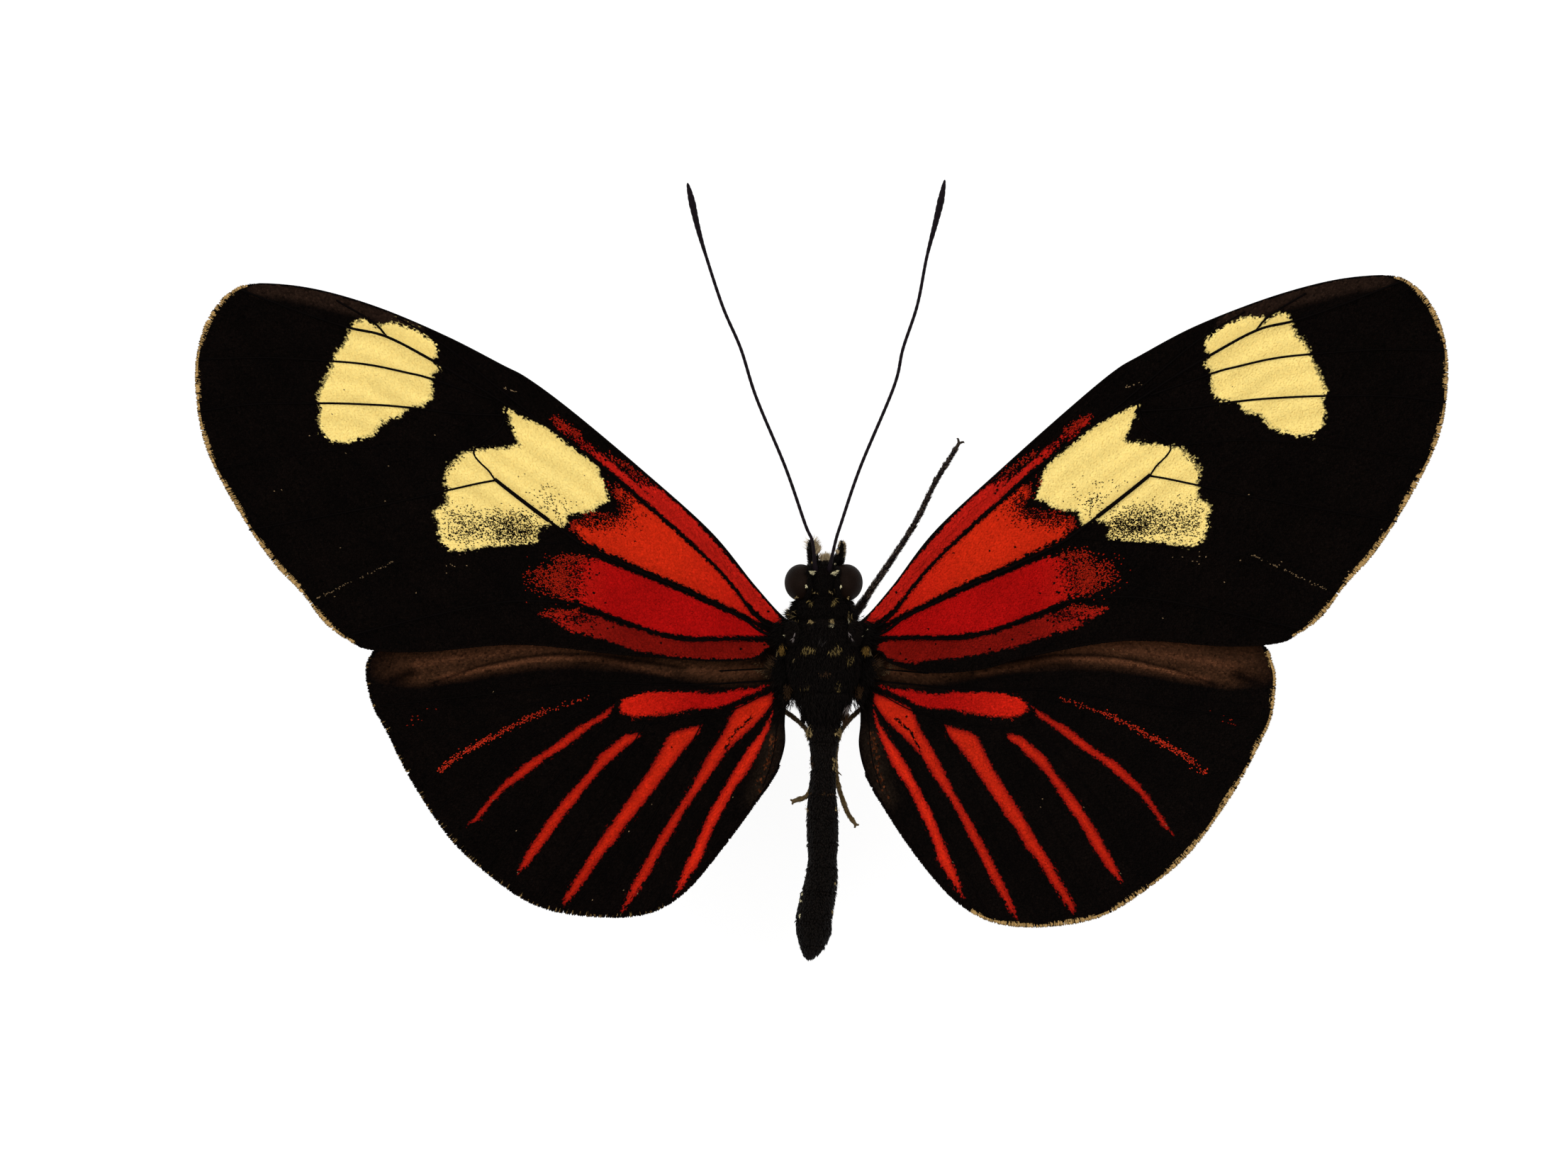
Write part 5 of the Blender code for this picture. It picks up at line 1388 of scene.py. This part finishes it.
FRONT_STRIPE = [
    (2.3, 0.95), (3.0, 1.95), (3.6, 2.66), (4.1, 3.17), (5.1, 4.33), (6.05, 5.45), (7.05, 6.52),
    (8.0, 7.5), (9.0, 8.4), (9.6, 8.85), (10.2, 9.2), (10.8, 9.55), (11.2, 9.75), (11.6, 9.78),
    (12.0, 10.12), (12.5, 10.5), (13.0, 10.95), (13.5, 11.35), (14.0, 11.75), (14.5, 12.1), (15.0, 12.45),
    (15.4, 12.75), (15.2, 12.25), (14.5, 11.58), (14.0, 11.22), (13.5, 10.87), (13.0, 10.48),
    (12.5, 10.07), (12.0, 9.66), (11.5, 9.22), (11.0, 8.77), (10.5, 8.33), (9.5, 7.48), (8.5, 6.6),
    (7.5, 5.7), (6.5, 4.72), (5.5, 3.65), (4.5, 2.45), (4.0, 1.9), (3.5, 1.45), (2.9, 1.1)]
CELL_RED = [
    (3.45, 1.1), (4.2, 1.62), (5.0, 2.7), (6.0, 3.9), (7.0, 4.87), (8.0, 5.8), (9.0, 6.68), (10.0, 7.5),
    (11.0, 8.35), (11.55, 8.72), (11.85, 8.7), (11.85, 8.2), (11.65, 7.8), (11.8, 7.3), (12.3, 7.03),
    (13.0, 6.97), (13.8, 6.98), (14.25, 6.85), (14.3, 6.4), (14.0, 6.08), (13.75, 5.8), (13.0, 5.42),
    (12.5, 5.19), (11.5, 4.74), (10.5, 4.29), (9.5, 3.84), (8.5, 3.44), (7.5, 3.0), (6.5, 2.52),
    (5.5, 2.05), (4.5, 1.58), (3.9, 1.2)]
MIDDLE_RED = [
    (3.2, 0.42), (4.0, 0.88), (5.0, 1.4), (6.0, 1.85), (7.0, 2.28), (8.0, 2.72), (9.0, 3.14),
    (10.0, 3.54), (11.0, 3.91), (12.0, 4.32), (12.5, 4.54), (13.0, 4.7), (13.5, 4.72), (14.0, 4.55),
    (14.5, 4.3), (15.0, 3.95), (15.35, 3.55), (15.4, 3.2), (15.2, 2.85), (14.7, 2.58), (14.3, 2.4),
    (13.5, 2.05), (13.0, 1.85), (12.0, 1.47), (11.0, 1.08), (10.0, 0.75), (9.0, 0.5), (8.0, 0.36),
    (7.0, 0.3), (6.0, 0.32), (5.0, 0.34), (4.0, 0.34), (3.4, 0.34)]
REAR_RED = [
    (3.1, -0.2), (3.6, 0.0), (5.0, 0.03), (7.0, 0.0), (8.0, 0.02), (9.0, 0.18), (10.0, 0.42),
    (11.0, 0.75), (12.0, 1.02), (13.0, 1.38), (13.5, 1.55), (14.5, 1.73), (15.2, 1.7), (15.7, 1.52),
    (16.3, 1.55), (15.7, 1.37), (15.2, 1.12), (14.85, 0.9), (14.6, 0.62), (14.0, 0.52), (13.5, 0.4),
    (13.0, 0.2), (12.0, -0.08), (11.0, -0.42), (10.0, -0.64), (9.5, -0.72), (8.5, -0.88), (7.5, -1.0),
    (6.5, -1.1), (5.6, -1.15), (5.3, -1.3), (4.8, -1.22), (4.2, -1.1), (3.6, -0.95), (3.1, -0.5)]
SHEEN_LINE = [(23.5, 18.1), (26, 19.1), (28, 19.6), (30.5, 20.2), (32.5, 20.4)]
# Painted shade: the line of a groove down the red front stripe, where the stripe's colour is darkened
GROOVE_SHADE_LINE = [(3.2, 1.7), (6.4, 5.1), (9.0, 7.55), (11, 9.1)]
CROSS_LINE = [(9.9, 8.35), (10.5, 8.9), (11.0, 9.37), (11.5, 9.77), (12.0, 10.2), (12.5, 10.6)]
LEMON = paint("FBE188")
LEMON_DEEP = paint("E9C96E")
RED_BRIGHT = paint("C4260D")
RED_MIDDLE = paint("A00A09")
RED_DARK = paint("6E0D07")


def forewing_layers(spots, side):
    """Where the forewing's colours lie, on its upper face and its under face."""
    x, y = spots.T
    dust = draw_cloud(spots)[:, None]
    black = WING_BLACK * (0.8 + 0.5 * dust)
    sheen = np.clip(1 - near_line(spots, SHEEN_LINE, 1.0) / 0.75, 0, 1)
    sheen = np.clip(sheen * 2, 0, 1)[:, None]
    fade = ramp(x, 12, 3.5)
    # The red front stripe is darkened along its groove: painted shade
    groove_shade = near_glow(spots, GROOVE_SHADE_LINE, 0.22, 1.0)[:, None]
    stripe = paint("B41A11") * (0.94 - 0.16 * groove_shade + 0.16 * dust) * (1 - 0.2 * fade[:, None])
    depth = ramp(x, 3.5, 5)[:, None]
    near_cu = near_glow(spots, FORE_CU, 0.6, 1.2)[:, None]
    cell = mixed(paint("B4150D"), RED_BRIGHT, depth) * (1 - 0.16 * near_cu + 0.12 * (dust - 0.5))
    end = ramp(x, 12.2, 3.2)
    middle = mixed(RED_MIDDLE, paint("A8200E"), 0.5 * end[:, None]) * (0.9 + 0.2 * dust)
    rear_end = ramp(x, 11.5, 4)
    rear = mixed(RED_DARK, paint("96160D"), rear_end[:, None]) * (0.85 + 0.3 * dust)
    streak = 0.5 + 0.5 * np.sin(near_line(spots, FORE_R, 6.0) * 5.0 + 0.6 * np.sin(x))[:, None]
    lemon = LEMON * (0.96 + 0.06 * dust) * (1 - 0.05 * streak) + (LEMON_DEEP - LEMON) * 0.25 * streak
    yellow = np.maximum(within(spots, OUTER_BAND, 0.12), within(spots, INNER_PATCH, 0.11))
    upper = [(1.0, mixed(black, paint("20150F"), sheen), 0.25),
             (within(spots, FRONT_STRIPE, 0.05 + 0.15 * fade) * (0.999 - 0.25 * fade), stripe, 0.1),
             (0.9 * on_line(spots, CROSS_LINE, 0.09) * ramp(x, 9.6, 1.2), WING_BLACK * 1.5, 0.4),
             (within(spots, CELL_RED, 0.05 + 0.1 * ramp(x, 10.5, 2)) * 0.999, cell, 0.09),
             (within(spots, MIDDLE_RED, 0.05 + 0.3 * end) * (0.999 - 0.12 * end), middle, 0.09),
             (within(spots, REAR_RED, 0.07 + 0.1 * rear_end) * (0.99 - 0.15 * rear_end), rear, 0.11),
             (yellow, lemon, 0.03)]
    lines = np.zeros(len(spots))
    for line in (FORE_R, FORE_M1, FORE_M2, FORE_M3, FORE_CU1, FORE_CU2, FORE_CELL_END, FORE_CU):
        lines = np.maximum(lines, on_line(spots, line, 0.09))
    under = [(1.0, UNDER_DARK * (0.8 + 0.5 * dust), 0.25),
             (within(spots, CELL_RED, 0.5) * 0.55, paint("6A2417"), 0.2),
             (within(spots, MIDDLE_RED, 0.4) * 0.5, paint("5E2418"), 0.2),
             (within(spots, FRONT_STRIPE, 0.25) * 0.8, paint("8E2014"), 0.15),
             (yellow, paint("E4CE86"), 0.05),
             (lines * 0.8 * (yellow > 0.05), UNDER_DARK, 0.3)]
    return upper, under


make_wings("fore", FOREWING_OUTLINE, FORE_SWELLS, FOREWING_VEINS, FORE_BARE, forewing_layers, FORE_DUST,
           wing_finish, 302)

# Wing covers: a small rounded lobe of shell lies over the root of each forewing and hides the hinge. It is
# thickly covered with black hair, and it sits on the side of the thorax.
COVER_PLACE = np.array((1.72, 0.5, 1.45))
COVER_RADII = (0.42, 0.66, 0.2)
COVER_TILT = 38
COVER_HAIRS = 1100

for name, side in SIDES:
    centre = COVER_PLACE * (side, 1, 1)
    bpy.ops.object.select_all(action="DESELECT")
    bpy.ops.mesh.primitive_uv_sphere_add(segments=32, ring_count=16, radius=MM, location=(0, 0, 0))
    bpy.context.object.scale = COVER_RADII
    bpy.context.object.rotation_euler = (0, side * math.radians(COVER_TILT), 0)
    bpy.context.object.location = (centre + (0, 0, BODY_HEIGHT)) * MM
    lobe = take_new("wing_cover_" + name)
    bpy.ops.object.mode_set(mode="OBJECT")
    lobe.data.shade_smooth()
    finish_piece(lobe, shell_black, "body")
    draw = np.random.default_rng(70 + side)
    shape = points_of(lobe)
    chosen = draw.integers(0, len(shape), COVER_HAIRS)
    roots = shape[chosen] + draw.normal(0, 0.02, (COVER_HAIRS, 3))
    facing = unit(roots - centre + (0, 0, 0.4))
    chance = draw.random((COVER_HAIRS, 1))
    tint = BLACK * (0.6 + 1.3 * chance)
    lie = strewn((side * 0.7, -0.8, -0.2), COVER_HAIRS, draw, 0.25)
    unwrap = 0.5 + 0.4 * (roots - centre)[:, :2]
    long = draw.uniform(0.2, 0.42, COVER_HAIRS)
    down = blades("wing_cover_hair_" + name, roots, facing, lie, long, 0.05,
                  draw.uniform(0.03, 0.08, COVER_HAIRS), tint, unwrap)
    finish_piece(down, coat_of_body, "body")

# Root hair: shaggy tufts that fill the corners between the thorax and the wings, black with tan and ochre
# locks. They stand on the thorax's side and on the wings' hinges, and lie outwards and back.
ROOT_HAIR_WIDE = 0.036

# Each tuft: where it stands, how far it spreads across and along, how many hairs, the way they lie, how
# long they are, and their colour. The corner tufts stand on both sides alike.
CORNER_TUFTS = [
    (2.25, 0.62, 0.78, 0.42, 0.45, 620, (0.8, -0.3, 0.05), 0.42, BLACK),
    (2.1, -0.2, 0.75, 0.35, 0.4, 420, (0.5, -0.9, 0.0), 0.4, BLACK),
    (2.3, -1.5, 0.1, 0.4, 0.7, 900, (0.45, -0.9, -0.1), 0.5, BLACK),
    (2.0, -2.8, 0.0, 0.3, 0.6, 420, (0.3, -0.9, 0.0), 0.45, BLACK),
    (2.4, -0.42, 0.95, 0.11, 0.17, 150, (0.1, -1.0, 0.1), 0.26, OCHRE * 0.35),
    (2.68, -0.6, 0.75, 0.03, 0.14, 18, (0.0, -1.0, 0.1), 0.2, TAN * 0.4),
    (2.9, -1.6, -0.1, 0.2, 0.3, 240, (0.95, 0.1, 0.05), 0.5, BROWN * 0.35),
    (2.75, -1.45, 0.0, 0.25, 0.25, 70, (0.85, 0.45, 0.05), 0.6, BROWN * 1.1),
    (2.05, -2.8, 0.25, 0.13, 0.25, 90, (0.1, -1.0, 0.0), 0.3, BROWN),
    (0.78, 3.95, 0.7, 0.1, 0.3, 330, (0.4, -0.8, 0.1), 0.3, BLACK),
    (0.78, 3.3, 0.78, 0.1, 0.4, 520, (0.45, -0.8, 0.1), 0.3, BLACK),
    (0.85, 2.75, 0.5, 0.14, 0.2, 260, (0.5, -0.8, 0.0), 0.3, BLACK),
    (1.4, 2.1, 0.1, 0.14, 0.28, 420, (0.75, -0.6, 0.0), 0.36, BLACK),
    (1.55, 1.45, 0.3, 0.2, 0.3, 360, (0.7, -0.5, 0.0), 0.4, BLACK)]
SIDE_TUFTS = [
    (-1.75, 1.45, 0.62, 0.2, 0.16, 30, (-0.85, 0.1, 0.1), 0.36, TAN * 0.5),
    (-1.8, 1.5, 0.6, 0.16, 0.16, 160, (-0.8, 0.1, 0.1), 0.42, BLACK),
    (-1.95, 1.6, 0.3, 0.08, 0.12, 22, (-0.7, 0.3, 0.1), 0.26, TAN),
    (-1.6, 1.2, 0.85, 0.12, 0.12, 12, (-0.3, -1.0, 0.1), 0.26, TAN * 0.4),
    (-1.45, 2.56, 0.5, 0.1, 0.04, 12, (-0.9, -0.4, 0.1), 0.16, TAN),
    (1.5, 1.5, 0.75, 0.14, 0.22, 14, (0.2, -0.95, 0.1), 0.34, TAN * 0.35),
    (1.45, 1.2, 1.0, 0.04, 0.1, 6, (0.0, -1.0, 0.2), 0.22, CREAM * 0.5),
    (1.62, 1.9, 0.5, 0.05, 0.2, 8, (0.5, -0.7, 0.1), 0.24, TAN * 0.5),
    (1.6, 1.8, 0.6, 0.08, 0.25, 160, (0.4, -0.9, 0.1), 0.34, BLACK),
    (1.35, 2.55, 0.5, 0.06, 0.08, 12, (0.6, -0.8, 0.1), 0.18, TAN),
    (-0.42, 5.12, -0.35, 0.1, 0.14, 120, (0.45, 1.0, 0.1), 0.4, PALE_HAIR),
    (-1.02, 3.22, 1.0, 0.03, 0.05, 20, (0.15, -1.0, 0.1), 0.13, CREAM * 1.1),
    (0.98, 3.19, 1.0, 0.03, 0.05, 20, (0.1, -1.0, 0.1), 0.13, CREAM * 1.1),
    (-0.72, 4.0, 1.05, 0.11, 0.05, 44, (0.5, -0.5, 0.1), 0.16, CREAM * 0.8),
    (0.58, 3.88, 1.08, 0.1, 0.05, 40, (0.7, 0.5, 0.1), 0.16, CREAM * 0.8),
    (0.74, 4.0, 1.02, 0.05, 0.03, 16, (0.8, 0.5, 0.1), 0.14, CREAM * 0.7),
    (0.65, 4.5, 0.62, 0.025, 0.025, 12, (0.0, -1.0, 0.1), 0.09, CREAM),
    (-0.67, 4.56, 0.6, 0.03, 0.03, 8, (0.0, -1.0, 0.1), 0.1, TAN),
    (-1.62, 1.95, 0.2, 0.06, 0.25, 220, (-0.9, -0.35, 0.0), 0.34, BLACK),
    (-1.75, 1.65, 0.3, 0.1, 0.16, 180, (-0.9, -0.2, 0.0), 0.36, BLACK),
    (0.05, 4.42, -0.1, 0.32, 0.06, 260, (0.0, 1.0, 0.1), 0.13, BLACK),
    (0.68, 4.6, -0.35, 0.13, 0.1, 280, (0.05, 1.0, 0.1), 0.34, BLACK),
    (-0.42, 4.6, -0.35, 0.1, 0.1, 260, (-0.1, 1.0, 0.1), 0.34, BLACK),
    (0.78, 5.02, -0.3, 0.05, 0.05, 36, (0.1, 1.0, 0.1), 0.32, PALE_HAIR),
    (1.38, -3.75, 0.75, 0.12, 0.14, 18, (-0.15, -0.95, 0.0), 0.5, LILAC * 1.1),
    (1.24, -4.1, 0.2, 0.14, 0.36, 420, (-0.15, -0.95, 0.0), 0.4, BROWN),
    (-1.12, -4.2, 0.3, 0.07, 0.32, 240, (-0.4, -0.9, 0.0), 0.3, BLACK),
    (-0.9, -5.25, 0.1, 0.05, 0.22, 60, (-0.35, -0.95, 0.0), 0.24, TAN * 0.5),
    (0.9, -5.25, 0.1, 0.05, 0.22, 60, (0.35, -0.95, 0.0), 0.24, TAN * 0.5),
    (-2.3, 0.36, 1.0, 0.07, 0.02, 14, (0.9, -0.35, 0.05), 0.16, CREAM * 0.8),
    (2.08, 0.28, 1.0, 0.07, 0.02, 14, (0.9, 0.35, 0.05), 0.16, CREAM * 0.8),
    (-1.66, 0.46, 1.78, 0.02, 0.06, 7, (-0.25, -1.0, 0.0), 0.26, LILAC * 1.2),
    (-1.74, 0.2, 1.76, 0.02, 0.06, 7, (-0.25, -1.0, 0.0), 0.26, LILAC),
    (1.42, 0.5, 1.8, 0.02, 0.06, 7, (0.45, -0.9, 0.0), 0.26, LILAC * 1.2),
    (1.58, 0.25, 1.8, 0.02, 0.06, 7, (0.45, -0.9, 0.0), 0.26, LILAC),
    (2.5, 0.72, 0.95, 0.02, 0.02, 4, (0.5, -0.5, 0.0), 0.08, CREAM * 0.7),
    (-0.1, -0.35, 2.18, 0.25, 0.1, 14, (0.0, 1.0, 0.0), 0.5, LILAC * 0.25)]
tufts = [(side * x, *rest, (side * way[0], *way[1:]), long, colour) for side in (-1, 1)
         for x, *rest, way, long, colour in CORNER_TUFTS] + SIDE_TUFTS
draw = np.random.default_rng(88)
parts = []
for x, y, z, across, along, count, way, long, colour in tufts:
    root = np.column_stack((draw.normal(x, across * 0.6, count), draw.normal(y, along * 0.6, count),
                            draw.normal(z, 0.07, count)))
    parts.append((root, strewn(way, count, draw, 0.28), long * draw.uniform(0.6, 1.25, count),
                  colour * draw.uniform(0.6, 1.4, (count, 1))))
roots, lie, long, tint = (np.concatenate(column) for column in zip(*parts))
count = len(roots)
hair = blades("wing_root_hair", roots, np.tile((0.0, 0.0, 1.0), (count, 1)), lie, long, ROOT_HAIR_WIDE,
              draw.uniform(0.02, 0.14, count), tint, 0.5 + 0.1 * roots[:, :2])
finish_piece(hair, coat_of_body, "body")

# Setting: the model stands on a white sheet, under an even white tent with a broad lamp high on the left
# and a weaker one on the right. The camera looks straight down from far off, as on a copy stand.
VIEW_CENTRE = (-2.28, 3.07)
VIEW_WIDTH = 90.08
WING_LEVEL = 20.8
CAMERA_OFF = 1300.0
SENSOR = 36.0

bpy.ops.object.select_all(action="DESELECT")
bpy.ops.mesh.primitive_plane_add(size=3.0, location=(0, 0, -0.0002))
floor = bpy.context.object
floor.name = "floor"
sheet_white = bpy.data.materials.new("white_sheet")
sheet_white.use_nodes = True
floor_shader = sheet_white.node_tree.nodes["Principled BSDF"]
floor_shader.inputs["Base Color"].default_value = (0.25, 0.25, 0.25, 1)
floor_shader.inputs["Roughness"].default_value = 0.9
floor_shader.inputs["Specular IOR Level"].default_value = 0.0
floor_shader.inputs["Emission Color"].default_value = (1, 1, 1, 1)
floor_shader.inputs["Emission Strength"].default_value = 0.85
floor.data.materials.append(sheet_white)

world = bpy.data.worlds.new("white_tent")
world.use_nodes = True
world.node_tree.nodes["Background"].inputs["Color"].default_value = (1, 1, 1, 1)
world.node_tree.nodes["Background"].inputs["Strength"].default_value = 0.62
bpy.context.scene.world = world

for name, place, size, power in (("lamp_high_left", (-0.30, 0.28, 0.62), 0.45, 2.6),
                                 ("lamp_right", (0.45, -0.1, 0.5), 0.4, 0.9)):
    lamp = bpy.data.lights.new(name, "AREA")
    lamp.shape = "SQUARE"
    lamp.size = size
    lamp.energy = power
    holder = bpy.data.objects.new(name, lamp)
    holder.location = place
    holder.rotation_mode = "QUATERNION"
    holder.rotation_quaternion = (-holder.location).to_track_quat("-Z", "Y")
    bpy.context.scene.collection.objects.link(holder)

lens = bpy.data.cameras.new("copy_stand_camera")
lens.sensor_width = SENSOR
lens.lens = SENSOR * CAMERA_OFF / VIEW_WIDTH
lens.clip_start = 0.05
lens.clip_end = 20.0
camera = bpy.data.objects.new("copy_stand_camera", lens)
camera.location = (VIEW_CENTRE[0] * MM, VIEW_CENTRE[1] * MM, (CAMERA_OFF + WING_LEVEL) * MM)
bpy.context.scene.collection.objects.link(camera)
bpy.context.scene.camera = camera
bpy.context.scene.view_settings.view_transform = "Standard"
